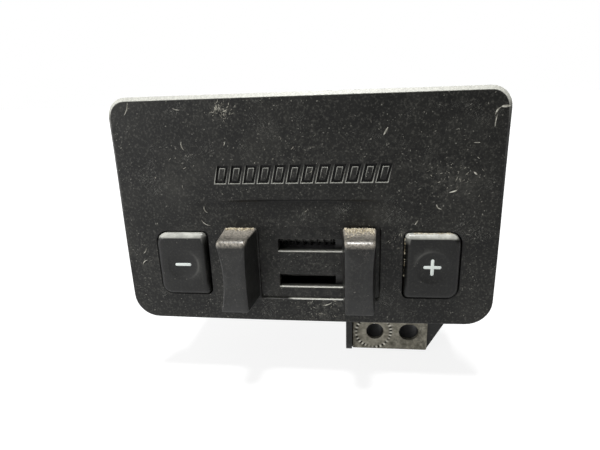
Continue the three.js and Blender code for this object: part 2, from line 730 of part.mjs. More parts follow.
// Compression spring round the upper rod, between the chassis and the carriage.
function buildSpring() {
  const start = CHASSIS_LEFT_X + SPRING_WIRE / 2 + SEAT_GAP;
  const end = CARRIAGE_LEFT_X - SPRING_WIRE / 2 - SEAT_GAP;
  class Helix extends THREE.Curve {
    getPoint(t, target = new THREE.Vector3()) {
      const turn = 2 * Math.PI * SPRING_COILS * t;
      return target.set(
        start + (end - start) * t,
        ROD_Y + SPRING_RADIUS * Math.cos(turn),
        UPPER_SLOT_Z + SPRING_RADIUS * Math.sin(turn),
      );
    }
  }
  const wire = new THREE.Shape();
  wire.absarc(0, 0, SPRING_WIRE / 2, 0, 2 * Math.PI);
  return new THREE.ExtrudeGeometry(wire, {
    steps: SPRING_COILS * 11,
    curveSegments: 2.5,
    bevelEnabled: false,
    extrudePath: new Helix(),
  });
}

place('return_spring', buildSpring(), STEEL);

// Spring-leaf wiper behind the carriage, and the resistive strip that it runs along.
const TRACK_BACK_Y = BOARD_FRONT_Y - SEAT_GAP;
const TRACK_FRONT_Y = TRACK_BACK_Y - TRACK_THICKNESS;
place(
  'position_wiper',
  box(
    SLIDING_LEVER_X - WIPER_WIDTH / 2,
    SLIDING_LEVER_X + WIPER_WIDTH / 2,
    CARRIAGE_BACK_Y + WIPER_GAP,
    TRACK_FRONT_Y - WIPER_GAP,
    CONTROL_ROW_Z - WIPER_HEIGHT / 2,
    CONTROL_ROW_Z + WIPER_HEIGHT / 2,
  ),
  TIN,
);
place(
  'position_track',
  box(
    SLIDING_LEVER_X - LEVER_TRAVEL - TRACK_SPARE,
    SLIDING_LEVER_X + TRACK_SPARE,
    TRACK_FRONT_Y,
    TRACK_BACK_Y,
    CONTROL_ROW_Z - TRACK_HEIGHT / 2,
    CONTROL_ROW_Z + TRACK_HEIGHT / 2,
  ),
  CHIP_BLACK,
);

// ---------- keys, their symbols and their switches ----------

const KEY_FRONT_Y = BEZEL_FRONT_Y - KEY_PROUD;
const KEY_LIP_Y = PANEL_BACK_Y + SEAT_GAP;
const SWITCH_BACK_Y = BOARD_FRONT_Y - SEAT_GAP;
const SWITCH_FRONT_Y = SWITCH_BACK_Y - SWITCH_HEIGHT;
const PLUNGER_FRONT_Y = SWITCH_FRONT_Y - KEY_TRAVEL - PLUNGER_PROUD;
const KEY_STEM_BACK_Y = PLUNGER_FRONT_Y - SEAT_GAP;

// Symbol as a flat outline: a bar for minus, a cross for plus.
function symbolOutline(key, grow) {
  const long = SYMBOL_LENGTH / 2 + grow;
  const thin = SYMBOL_STROKE / 2 + grow;
  const corners =
    key.side === 'minus'
      ? [[-long, -thin], [long, -thin], [long, thin], [-long, thin]]
      : [
          [-thin, -long], [thin, -long], [thin, -thin], [long, -thin], [long, thin], [thin, thin],
          [thin, long], [-thin, long], [-thin, thin], [-long, thin], [-long, -thin], [-thin, -thin],
        ];
  return new THREE.Shape(corners.map(([x, z]) => new THREE.Vector2(key.x + x, CONTROL_ROW_Z + z)));
}

function buildKey(key) {
  const cap = frontRoundedSlab(keyOutline(key, -KEY_CLEARANCE), KEY_FRONT_Y, KEY_LIP_Y + 0.2, KEY_EDGE_ROUND, 5);
  const lip = slab(keyOutline(key, KEY_LIP), KEY_LIP_Y, KEY_LIP_Y + KEY_LIP_THICKNESS);
  const stem = rodY(key.x, CONTROL_ROW_Z, KEY_STEM_RADIUS, KEY_LIP_Y, KEY_STEM_BACK_Y, 14);
  const dish = new THREE.CylinderGeometry(
    DISH_DIAMETER / 2 - DISH_SLOPE,
    DISH_DIAMETER / 2 + DISH_SLOPE,
    2 * DISH_DEPTH,
    28,
  ).translate(key.x, KEY_FRONT_Y, CONTROL_ROW_Z);
  const seat = slab(
    symbolOutline(key, SYMBOL_CLEARANCE),
    KEY_FRONT_Y - EPS,
    KEY_FRONT_Y + DISH_DEPTH + SYMBOL_THICKNESS + SYMBOL_CLEARANCE,
  );
  return carve(cap, [dish, seat], [lip, stem]);
}

for (const key of KEYS) {
  place(`${key.side}_key`, buildKey(key), BLACK_ABS);
  const symbolFront = KEY_FRONT_Y + DISH_DEPTH;
  place(
    `${key.side}_symbol`,
    slab(symbolOutline(key, 0), symbolFront, symbolFront + SYMBOL_THICKNESS),
    LIGHT_GUIDE,
  );
  const half = SWITCH_SIZE / 2;
  const body = box(
    key.x - half,
    key.x + half,
    SWITCH_FRONT_Y,
    SWITCH_BACK_Y,
    CONTROL_ROW_Z - half,
    CONTROL_ROW_Z + half,
  );
  const floorY = SWITCH_BACK_Y - SWITCH_FLOOR;
  const bore = rodY(key.x, CONTROL_ROW_Z, PLUNGER_RADIUS + PLUNGER_CLEARANCE, SWITCH_FRONT_Y - EPS, floorY, 14);
  place(`${key.side}_switch_body`, carve(body, [bore]), CHIP_BLACK);
  const plungerBack = floorY - KEY_TRAVEL - PLUNGER_CLEARANCE;
  place(
    `${key.side}_switch_plunger`,
    rodY(key.x, CONTROL_ROW_Z, PLUNGER_RADIUS, PLUNGER_FRONT_Y, plungerBack, 14),
    ACETAL,
  );
  const lampX = key.x - key.outerSign * BACKLIGHT_OFFSET;
  const lampZ = CONTROL_ROW_Z + BACKLIGHT_OFFSET;
  place(
    `${key.side}_backlight`,
    box(
      lampX - BACKLIGHT_SIZE / 2,
      lampX + BACKLIGHT_SIZE / 2,
      SWITCH_BACK_Y - BACKLIGHT_HEIGHT,
      SWITCH_BACK_Y,
      lampZ - BACKLIGHT_SIZE / 2,
      lampZ + BACKLIGHT_SIZE / 2,
    ),
    LIGHT_GUIDE,
  );
}

// ---------- control board ----------

const boardHoles = BOARD_SCREWS.map((screw) =>
  rodY(screw.x, BOARD_SCREW_Z, SCREW_BORE, BOARD_FRONT_Y - EPS, BOARD_BACK_Y + EPS, 12),
);
place(
  'control_board',
  carve(
    box(-BOARD_RIGHT_X, BOARD_RIGHT_X, BOARD_FRONT_Y, BOARD_BACK_Y, BOARD_BOTTOM_Z, BOARD_TOP_Z),
    boardHoles,
  ),
  BOARD_MASK,
);
for (const screw of BOARD_SCREWS) {
  const seat = BOARD_BACK_Y + 0.1;
  place(
    `board_screw_${screw.name}`,
    screwY(screw.x, BOARD_SCREW_Z, seat, BOARD_FRONT_Y - BOARD_SCREW_DEPTH),
    STEEL,
  );
}

// Block on the back of the board, centred on x and z.
const PARTS_Y = BOARD_BACK_Y + SEAT_GAP;
function boardBlock(x, z, width, length, height) {
  return box(x - width / 2, x + width / 2, PARTS_Y, PARTS_Y + height, z - length / 2, z + length / 2);
}

place('microcontroller', boardBlock(CHIP_X, CONNECTOR_Z, CHIP_SIZE, CHIP_SIZE, CHIP_HEIGHT), CHIP_BLACK);
place(
  'brake_output_driver',
  boardBlock(DRIVER_X, CONTROL_ROW_Z, DRIVER_WIDTH, DRIVER_LENGTH, DRIVER_HEIGHT),
  CHIP_BLACK,
);
place('filter_coil', boardBlock(COIL_X, CONTROL_ROW_Z, COIL_SIZE, COIL_SIZE, COIL_HEIGHT), CHIP_BLACK);
for (const [name, side] of [['left', -1], ['right', 1]]) {
  const x = CAPACITOR_X + (side * CAPACITOR_PITCH) / 2;
  place(
    `supply_capacitor_${name}`,
    rodY(x, CONTROL_ROW_Z, CAPACITOR_RADIUS, PARTS_Y, PARTS_Y + CAPACITOR_LENGTH),
    CHIP_BLACK,
  );
}

// ---------- header connector ----------

const SHELL_BACK_Y = PARTS_Y + CONNECTOR_LENGTH;
const CAVITY_FRONT_Y = SHELL_BACK_Y - CONNECTOR_CAVITY;

function buildConnectorShell() {
  const halfWidth = CONNECTOR_WIDTH / 2;
  const halfHeight = CONNECTOR_HEIGHT / 2;
  const outline = (inset, radius) =>
    roundedOutline(
      CONNECTOR_X - halfWidth + inset,
      CONNECTOR_X + halfWidth - inset,
      CONNECTOR_Z - halfHeight + inset,
      CONNECTOR_Z + halfHeight - inset,
      evenRadii(radius),
    );
  const bores = contactPlaces().map(({ x, z }) =>
    box(
      x - CONTACT_SIZE / 2 - 0.1,
      x + CONTACT_SIZE / 2 + 0.1,
      PARTS_Y - EPS,
      CAVITY_FRONT_Y + EPS,
      z - CONTACT_SIZE / 2 - 0.1,
      z + CONTACT_SIZE / 2 + 0.1,
    ),
  );
  const cavity = slab(outline(CONNECTOR_WALL, 0.8), CAVITY_FRONT_Y, SHELL_BACK_Y + EPS, 3);
  return carve(slab(outline(0, 2), PARTS_Y, SHELL_BACK_Y, 3), [cavity, ...bores]);
}

function contactPlaces() {
  return Array.from({ length: CONTACT_COUNT }, (_, index) => ({
    x: CONNECTOR_X + (index - (CONTACT_COUNT - 1) / 2) * CONTACT_PITCH,
    z: CONNECTOR_Z,
  }));
}

place('connector_shell', buildConnectorShell(), BLACK_NYLON);
contactPlaces().forEach(({ x, z }, index) => {
  const half = CONTACT_SIZE / 2;
  place(
    `connector_contact_${index + 1}`,
    box(x - half, x + half, PARTS_Y, SHELL_BACK_Y - 6, z - half, z + half),
    TIN,
  );
});

// ---------- rear housing ----------

const HOUSING_FRONT_Y = SEAT_GAP;

function housingOutline(inset) {
  return roundedOutline(
    -HOUSING_WIDTH / 2 + inset,
    HOUSING_WIDTH / 2 - inset,
    HOUSING_BOTTOM_Z + inset,
    HOUSING_TOP_Z - inset,
    evenRadii(HOUSING_RADIUS - inset),
  );
}

function buildHousing() {
  const earFront = BOSS_HEIGHT + SEAT_GAP;
  const ears = EARS.map((ear) => {
    const inner = ear.side * (HOUSING_WIDTH / 2 - HOUSING_WALL / 2);
    const outer = ear.side * (HOUSING_WIDTH / 2 + EAR_LENGTH);
    return slab(
      roundedOutline(
        Math.min(inner, outer),
        Math.max(inner, outer),
        ear.z - EAR_WIDTH / 2,
        ear.z + EAR_WIDTH / 2,
        evenRadii(0.6),
      ),
      earFront,
      earFront + EAR_THICKNESS,
      2,
    );
  });
  const bossRooms = EARS.map((ear) =>
    rodY(ear.x, ear.z, BOSS_RADIUS + SEAT_GAP, HOUSING_FRONT_Y - EPS, earFront, 16),
  );
  const earHoles = EARS.map((ear) => rodY(ear.x, ear.z, SCREW_BORE, 0, earFront + EAR_THICKNESS + EPS, 12));
  const hollow = slab(housingOutline(HOUSING_WALL), HOUSING_FRONT_Y - EPS, HOUSING_DEPTH - HOUSING_WALL, 3);
  const socketRoom = box(
    CONNECTOR_X - CONNECTOR_WIDTH / 2 - SEAT_GAP,
    CONNECTOR_X + CONNECTOR_WIDTH / 2 + SEAT_GAP,
    HOUSING_DEPTH - HOUSING_WALL - EPS,
    HOUSING_DEPTH + EPS,
    CONNECTOR_Z - CONNECTOR_HEIGHT / 2 - SEAT_GAP,
    CONNECTOR_Z + CONNECTOR_HEIGHT / 2 + SEAT_GAP,
  );
  const footHoles = FOOT_SCREWS.map((screw) =>
    rodY(0, 0, SCREW_BORE, -HOUSING_WALL, HOUSING_WALL, 12)
      .rotateX(Math.PI / 2)
      .translate(screw.x, FOOT_SCREW_Y, HOUSING_BOTTOM_Z + HOUSING_WALL / 2),
  );
  const clipSlots = CLIPS.map((clip) =>
    box(
      clip.x - CLIP_WIDTH / 2 - 0.2,
      clip.x + CLIP_WIDTH / 2 + 0.2,
      CLIP_HOOK_Y - 0.2,
      CLIP_HOOK_Y + CLIP_THICKNESS + 0.2,
      HOUSING_TOP_Z - HOUSING_WALL - EPS,
      HOUSING_TOP_Z + EPS,
    ),
  );
  const ribX = HOUSING_WIDTH / 2 - RIB_INSET;
  const ribReach = (HOUSING_TOP_Z - HOUSING_BOTTOM_Z) / 2 - RIB_INSET / 2;
  const ribs = [-ribX, ribX].map((x) =>
    box(
      x - RIB_WIDTH / 2,
      x + RIB_WIDTH / 2,
      HOUSING_DEPTH - 0.5,
      HOUSING_DEPTH + RIB_HEIGHT,
      HOUSING_MID_Z - ribReach,
      HOUSING_MID_Z + ribReach,
    ),
  );
  return carve(
    slab(housingOutline(0), HOUSING_FRONT_Y, HOUSING_DEPTH, 4),
    [hollow, socketRoom, ...bossRooms, ...earHoles, ...footHoles, ...clipSlots],
    [...ears, ...ribs],
  );
}

// ---------- mounting foot ----------

const FOOT_TOP_Z = HOUSING_BOTTOM_Z - SEAT_GAP;
const BOLT_HOLE_Z = HOUSING_BOTTOM_Z - BOLT_HOLE_DROP;
const FOOT_BOTTOM_Z = BOLT_HOLE_Z - FOOT_BELOW_HOLES;
const FOOT_BACK_Y = FOOT_FACE_Y + FOOT_PLATE_THICKNESS + SEAT_GAP;
const FOOT_SEAT_Y = FOOT_BACK_Y + FOOT_BOSS_LENGTH;
const FOOT_SCREW_Y = FOOT_BACK_Y + FOOT_WALL + 4.6;
const FOOT_SCREWS = [
  { name: 'left', x: FOOT_LEFT_X + 6 },
  { name: 'right', x: FOOT_RIGHT_X - 7 },
];
const CLIPS = [
  { name: 'left', x: -CLIP_SPACING / 2 },
  { name: 'right', x: CLIP_SPACING / 2 },
];
const CLIP_HOOK_Y = 10;

// Hole outlines of the two bolt holes: one round, one stretched sideways.
function boltHole(x, stretch, grow, y0, y1) {
  const radius = BOLT_HOLE_RADIUS + grow;
  const shape = new THREE.Shape();
  shape.moveTo(x - stretch / 2, BOLT_HOLE_Z - radius);
  shape.lineTo(x + stretch / 2, BOLT_HOLE_Z - radius);
  shape.absarc(x + stretch / 2, BOLT_HOLE_Z, radius, -Math.PI / 2, Math.PI / 2);
  shape.lineTo(x - stretch / 2, BOLT_HOLE_Z + radius);
  shape.absarc(x - stretch / 2, BOLT_HOLE_Z, radius, Math.PI / 2, Math.PI * 1.5);
  return slab(shape, y0, y1, 10);
}

const BOLT_HOLES = [
  { x: BOLT_HOLE_X, stretch: 0.02 },
  { x: BOLT_SLOT_X, stretch: BOLT_SLOT_STRETCH },
];

function footOutline() {
  const corner = 2;
  const shape = new THREE.Shape();
  shape.moveTo(FOOT_LEFT_X + corner, FOOT_BOTTOM_Z);
  shape.lineTo(FOOT_RIGHT_X - FOOT_SLANT_WIDTH, FOOT_BOTTOM_Z);
  const flareX = FOOT_RIGHT_X + FOOT_FLARE_WIDTH;
  const slantTopZ = FOOT_BOTTOM_Z + FOOT_SLANT_HEIGHT;
  shape.lineTo(FOOT_RIGHT_X, slantTopZ);
  shape.quadraticCurveTo(
    FOOT_RIGHT_X + FOOT_FLARE_WIDTH / 4,
    slantTopZ + FOOT_FLARE_HEIGHT,
    flareX,
    slantTopZ + FOOT_FLARE_HEIGHT,
  );
  shape.lineTo(flareX, FOOT_TOP_Z);
  shape.lineTo(FOOT_LEFT_X, FOOT_TOP_Z);
  shape.lineTo(FOOT_LEFT_X, FOOT_BOTTOM_Z + corner);
  shape.absarc(FOOT_LEFT_X + corner, FOOT_BOTTOM_Z + corner, corner, Math.PI, Math.PI * 1.5);
  return shape;
}

function buildFoot() {
  const wall = slab(footOutline(), FOOT_BACK_Y, FOOT_BACK_Y + FOOT_WALL, 3);
  const additions = [];
  const cutters = [];
  // Side rib standing forward along the left edge, and the flange under the housing.
  const ribFrontY = FOOT_FACE_Y - FOOT_RIB_PROUD;
  additions.push(
    alongX(
      [
        [FOOT_BACK_Y + 1, FOOT_BOTTOM_Z + 1],
        [FOOT_BACK_Y + 1, FOOT_TOP_Z],
        [ribFrontY, FOOT_TOP_Z],
        [ribFrontY, FOOT_BOTTOM_Z + FOOT_RIB_PROUD + 1],
        [ribFrontY + 0.9, FOOT_BOTTOM_Z + 2.6],
        [ribFrontY + 2.6, FOOT_BOTTOM_Z + 1.1],
      ],
      FOOT_LEFT_X,
      FOOT_LEFT_X + FOOT_RIB_WIDTH,
    ),
    box(
      FOOT_LEFT_X,
      FOOT_RIGHT_X + FOOT_FLARE_WIDTH,
      FOOT_FLANGE_FRONT_Y,
      FOOT_SEAT_Y,
      FOOT_TOP_Z - FOOT_FLANGE_THICKNESS,
      FOOT_TOP_Z,
    ),
  );
  // One block behind the wall joins the two bolt bosses; its back is the seat.
  const half = BOLT_HOLE_RADIUS + FOOT_BOSS_WALL;
  additions.push(
    box(
      BOLT_HOLE_X - half,
      BOLT_SLOT_X + BOLT_SLOT_STRETCH / 2 + half,
      FOOT_BACK_Y + 1,
      FOOT_SEAT_Y,
      BOLT_HOLE_Z - half,
      BOLT_HOLE_Z + half,
    ),
  );
  for (const hole of BOLT_HOLES) {
    cutters.push(boltHole(hole.x, hole.stretch, 0, FOOT_BACK_Y - EPS, FOOT_SEAT_Y + EPS));
  }
  for (const screw of FOOT_SCREWS) {
    cutters.push(
      rodY(0, 0, SCREW_BORE, -FOOT_FLANGE_THICKNESS, FOOT_FLANGE_THICKNESS, 12)
        .rotateX(Math.PI / 2)
        .translate(screw.x, FOOT_SCREW_Y, FOOT_TOP_Z - FOOT_FLANGE_THICKNESS / 2),
    );
  }
  return carve(wall, cutters, additions);
}

place('rear_housing', buildHousing(), BLACK_NYLON);
for (const [index, ear] of EARS.entries()) {
  const seat = BOSS_HEIGHT + SEAT_GAP + EAR_THICKNESS + 0.1;
  place(`housing_screw_${index + 1}`, screwY(ear.x, ear.z, seat, BOSS_HEIGHT - EAR_SCREW_DEPTH), STEEL);
}

place('mounting_foot', buildFoot(), BLACK_NYLON);

function buildFootPlate() {
  const plate = box(
    FOOT_LEFT_X + FOOT_RIB_WIDTH + SEAT_GAP,
    FOOT_RIGHT_X - FOOT_SLANT_WIDTH,
    FOOT_FACE_Y,
    FOOT_FACE_Y + FOOT_PLATE_THICKNESS,
    FOOT_BOTTOM_Z + 0.3,
    FOOT_TOP_Z - FOOT_FLANGE_THICKNESS - SEAT_GAP,
  );
  const holes = BOLT_HOLES.map((hole) =>
    boltHole(hole.x, hole.stretch, 0, FOOT_FACE_Y - EPS, FOOT_FACE_Y + FOOT_PLATE_THICKNESS + EPS),
  );
  return carve(plate, holes);
}

place('foot_plate', buildFootPlate(), WORN_STEEL);

for (const screw of FOOT_SCREWS) {
  const seat = FOOT_TOP_Z - FOOT_FLANGE_THICKNESS - 0.1;
  const geometry = screwY(0, 0, 0, HOUSING_BOTTOM_Z + HOUSING_WALL + 3 - seat);
  place(`foot_screw_${screw.name}`, geometry.rotateX(Math.PI / 2).translate(screw.x, FOOT_SCREW_Y, seat), STEEL);
}

// ---------- retaining clips ----------

// Bent spring strip: a hook through the housing's top, a flat run and a raised catch.
function buildClip(clip) {
  const low = HOUSING_TOP_Z + SEAT_GAP;
  const high = low + CLIP_THICKNESS;
  const hookLow = HOUSING_TOP_Z - HOUSING_WALL - 1;
  const back = CLIP_HOOK_Y + CLIP_LENGTH;
  const crest = CLIP_HOOK_Y + CLIP_LENGTH * 0.55;
  const outline = [
    [CLIP_HOOK_Y, hookLow],
    [CLIP_HOOK_Y + CLIP_THICKNESS, hookLow],
    [CLIP_HOOK_Y + CLIP_THICKNESS, low],
    [CLIP_HOOK_Y + 4, low],
    [crest, low + CLIP_RISE],
    [back, low],
    [back, high],
    [crest, high + CLIP_RISE],
    [CLIP_HOOK_Y + 4, high],
    [CLIP_HOOK_Y, high],
  ];
  return alongX(outline, clip.x - CLIP_WIDTH / 2, clip.x + CLIP_WIDTH / 2);
}

for (const clip of CLIPS) place(`retaining_clip_${clip.name}`, buildClip(clip), STEEL);

export default group;
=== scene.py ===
"""Dash-mounted trailer brake controller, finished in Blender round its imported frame.

Every outline below is in millimetres in the frame of the model: +X right, +Y into the dash, +Z up.
"""

from __future__ import annotations

import json
import logging
import math
from collections.abc import Callable, Sequence
from dataclasses import dataclass, field
from enum import Enum
from typing import Any

import bmesh
import bpy
import numpy as np
from mathutils import Matrix, Vector
from mathutils.geometry import delaunay_2d_cdt


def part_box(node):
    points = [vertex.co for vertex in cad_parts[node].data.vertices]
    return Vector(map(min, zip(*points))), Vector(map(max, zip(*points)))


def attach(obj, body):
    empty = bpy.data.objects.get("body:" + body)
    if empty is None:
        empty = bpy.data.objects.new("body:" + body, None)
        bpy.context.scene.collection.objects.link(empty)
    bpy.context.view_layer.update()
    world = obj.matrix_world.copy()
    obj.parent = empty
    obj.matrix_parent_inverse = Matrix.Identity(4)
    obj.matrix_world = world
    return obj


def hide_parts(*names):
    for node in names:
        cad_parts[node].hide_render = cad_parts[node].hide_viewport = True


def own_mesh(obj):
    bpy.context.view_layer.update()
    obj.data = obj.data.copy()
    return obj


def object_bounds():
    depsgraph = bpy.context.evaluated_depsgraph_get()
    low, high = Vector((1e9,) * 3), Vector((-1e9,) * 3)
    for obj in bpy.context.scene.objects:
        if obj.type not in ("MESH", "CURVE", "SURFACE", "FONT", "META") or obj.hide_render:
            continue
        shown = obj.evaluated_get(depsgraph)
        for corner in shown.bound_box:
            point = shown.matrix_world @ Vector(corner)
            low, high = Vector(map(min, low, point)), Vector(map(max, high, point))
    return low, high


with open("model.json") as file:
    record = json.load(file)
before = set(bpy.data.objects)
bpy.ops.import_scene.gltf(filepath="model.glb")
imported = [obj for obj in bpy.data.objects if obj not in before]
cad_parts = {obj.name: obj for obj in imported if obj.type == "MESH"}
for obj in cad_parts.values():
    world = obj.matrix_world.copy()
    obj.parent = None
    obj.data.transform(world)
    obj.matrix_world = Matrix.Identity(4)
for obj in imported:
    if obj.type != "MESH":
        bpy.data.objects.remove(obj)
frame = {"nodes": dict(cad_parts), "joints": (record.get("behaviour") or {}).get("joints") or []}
CAD_BOX = [list(corner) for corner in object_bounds()]

LOG = logging.getLogger("brake_controller")
MM = 0.001
Array = np.ndarray
Height = Callable[[Array, Array], Array]
Tree = bpy.types.NodeTree
Material = bpy.types.Material
Piece = bpy.types.Object


def node_box(node: str) -> tuple[Array, Array]:
    """Lowest and highest corners of a frame node, in millimetres.

    Args:
        node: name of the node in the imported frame.

    Returns:
        The two corners as arrays of x, y, z.
    """
    low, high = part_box(node)
    return np.array(low, float) / MM, np.array(high, float) / MM


# ---------------------------------------------------------------- outlines


@dataclass(frozen=True)
class Outline:
    """Rounded rectangle in the X-Z plane with its own radius at each corner.

    A point's depth is how far it lies inside the edge: the usual signed distance of a rounded
    box, which is max(q, 0) length plus min(max(q), 0) minus the radius, with its sign turned.
    """

    x0: float
    x1: float
    z0: float
    z1: float
    left_top: float
    right_top: float
    right_bottom: float
    left_bottom: float

    @classmethod
    def even(cls, x0: float, x1: float, z0: float, z1: float, radius: float) -> Outline:
        """An outline with the same radius at all four corners."""
        return cls(x0, x1, z0, z1, radius, radius, radius, radius)

    def grown(self, by: float) -> Outline:
        """The parallel outline that lies outside this one by that distance."""
        radii = [max(r + by, 0.02) for r in self.radii()]
        return Outline(self.x0 - by, self.x1 + by, self.z0 - by, self.z1 + by, *radii)

    def radii(self) -> tuple[float, float, float, float]:
        """The four corner radii: left top, right top, right bottom, left bottom."""
        return self.left_top, self.right_top, self.right_bottom, self.left_bottom

    def depth(self, x: Array, z: Array) -> Array:
        """Distance inside the edge, negative outside it."""
        mid_x, mid_z = (self.x0 + self.x1) / 2, (self.z0 + self.z1) / 2
        top = np.where(x < mid_x, self.left_top, self.right_top)
        bottom = np.where(x < mid_x, self.left_bottom, self.right_bottom)
        radius = np.where(z > mid_z, top, bottom)
        qx = np.abs(x - mid_x) - (self.x1 - self.x0) / 2 + radius
        qz = np.abs(z - mid_z) - (self.z1 - self.z0) / 2 + radius
        outside = np.hypot(np.maximum(qx, 0), np.maximum(qz, 0))
        return radius - outside - np.minimum(np.maximum(qx, qz), 0)

    def loop(self, arc_steps: int = 8, side_step: float = 4.0) -> Array:
        """Points round the edge, anticlockwise in X-Z, with the straight sides divided evenly."""
        corners = [
            (self.x1 - self.right_bottom, self.z0 + self.right_bottom, self.right_bottom, -90),
            (self.x1 - self.right_top, self.z1 - self.right_top, self.right_top, 0),
            (self.x0 + self.left_top, self.z1 - self.left_top, self.left_top, 90),
            (self.x0 + self.left_bottom, self.z0 + self.left_bottom, self.left_bottom, 180),
        ]
        arcs = []
        for centre_x, centre_z, radius, start in corners:
            angle = np.radians(start + np.linspace(0, 90, arc_steps + 1))
            arcs.append(np.stack([centre_x + radius * np.cos(angle), centre_z + radius * np.sin(angle)], 1))
        pieces = []
        for arc, following in zip(arcs, arcs[1:] + arcs[:1]):
            gap = np.linalg.norm(following[0] - arc[-1])
            shares = np.linspace(0, 1, max(int(gap / side_step) + 1, 2))[1:-1, None]
            pieces.append(arc)
            pieces.append(arc[-1] + (following[0] - arc[-1]) * shares)
        return np.concatenate(pieces)


def circle(centre: tuple[float, float], radius: float, sides: int = 48, stretch: float = 0.0) -> Array:
    """Closed round loop, or a slot with straight sides when stretched along X.

    Args:
        centre: middle of the hole, x and z.
        radius: its radius.
        sides: points round it.
        stretch: length of its straight part.

    Returns:
        Points as rows of x, z, anticlockwise.
    """
    angle = np.arange(sides) / sides * 2 * np.pi
    shift = np.sign(np.cos(angle)) * stretch / 2
    return np.stack([centre[0] + radius * np.cos(angle) + shift, centre[1] + radius * np.sin(angle)], 1)


def unit(value: Any) -> Any:
    """Holds a value between 0 and 1."""
    return np.clip(value, 0, 1)


def bell(value: Array) -> Array:
    """Bell curve exp(-v^2)."""
    return np.exp(-(value**2))


def quarter_round(depth: Array, radius: float) -> Array:
    """Drop of a rounded-over edge: radius times one minus root(1 - (1 - d/r)^2), zero past r."""
    share = unit(depth / radius)
    return radius * (1 - np.sqrt(unit(1 - (1 - share) ** 2)))


def smoothstep(value: Array) -> Array:
    """Smooth ramp from 0 to 1: 3t^2 - 2t^3."""
    t = unit(value)
    return t * t * (3 - 2 * t)


# ---------------------------------------------------------------- mesh building


def link(name: str, data: bpy.types.ID) -> Piece:
    """Makes an object of a mesh, a light or a camera and links it to the scene."""
    made = bpy.data.objects.new(name, data)
    bpy.context.scene.collection.objects.link(made)
    return made


@dataclass
class Shell:
    """A mesh being put together from rings, caps and sheets, in millimetres."""

    points: list[Array] = field(default_factory=list)
    faces: list[Array] = field(default_factory=list)
    size: int = 0

    def add(self, points: Array, *faces: Array) -> None:
        """Adds points (n, 3) and faces that index them (each array is k rows of 3 or 4)."""
        self.points.append(np.asarray(points, float))
        self.faces.extend(np.asarray(rows, int) + self.size for rows in faces if len(rows))
        self.size += len(points)

    def join(self, other: Shell) -> None:
        """Takes in another shell's points and faces."""
        self.add(np.concatenate(other.points), *other.faces)

    def rings(self, rings: Array) -> Shell:
        """Quads between neighbouring closed rings: k rings by n points by 3. Gives the shell itself."""
        rows, count = rings.shape[:2]
        row, column = np.arange(rows - 1)[:, None] * count, np.arange(count)[None, :]
        beside = (column + 1) % count
        corners = (row + column, row + beside, row + count + beside, row + count + column)
        self.add(rings.reshape(-1, 3), np.stack(np.broadcast_arrays(*corners), -1).reshape(-1, 4))
        return self

    def cap(self, ring: Array) -> Shell:
        """Closes a ring with a fan of triangles to its middle."""
        count = len(ring)
        index = np.arange(count)
        fan = np.stack([index, (index + 1) % count, np.full(count, count)], 1)
        self.add(np.vstack([ring, ring.mean(0)]), fan)
        return self

    def build(self, name: str, sharp: float = 38.0) -> Piece:
        """Merges doubles, points the faces outwards and makes the object, in metres.

        Args:
            name: name of the new piece.
            sharp: edges that turn by more than this angle, in degrees, stay crisp.

        Returns:
            The new object, linked to the scene, at the origin.
        """
        points = np.concatenate(self.points)
        _, first, inverse = np.unique(np.round(points, 4), axis=0, return_index=True, return_inverse=True)
        inverse = inverse.reshape(-1)
        merged = (list(dict.fromkeys(face)) for rows in self.faces for face in inverse[rows].tolist())
        polygons = [corners for corners in merged if len(corners) > 2]
        mesh = bpy.data.meshes.new(name)
        mesh.from_pydata((points[first] * MM).tolist(), [], polygons)
        work = bmesh.new()
        work.from_mesh(mesh)
        bmesh.ops.recalc_face_normals(work, faces=work.faces)
        work.to_mesh(mesh)
        work.free()
        mesh.polygons.foreach_set("use_smooth", np.ones(len(mesh.polygons), bool))
        mesh.set_sharp_from_angle(angle=math.radians(sharp))
        LOG.info("%s: %d faces", name, len(mesh.polygons))
        return link(name, mesh)


def spin(angle: float) -> Array:
    """Matrix that turns rows of x, z by an angle in radians, from the right."""
    return np.array([[math.cos(angle), math.sin(angle)], [-math.sin(angle), math.cos(angle)]])


def level(y: float) -> Height:
    """A flat surface at that depth."""
    return lambda x, z: np.full_like(x, y)


def at_height(loop: Array, y: float | Array) -> Array:
    """Lifts a loop of x, z points into space at depth y."""
    return np.stack([loop[:, 0], np.broadcast_to(y, len(loop)), loop[:, 1]], 1)


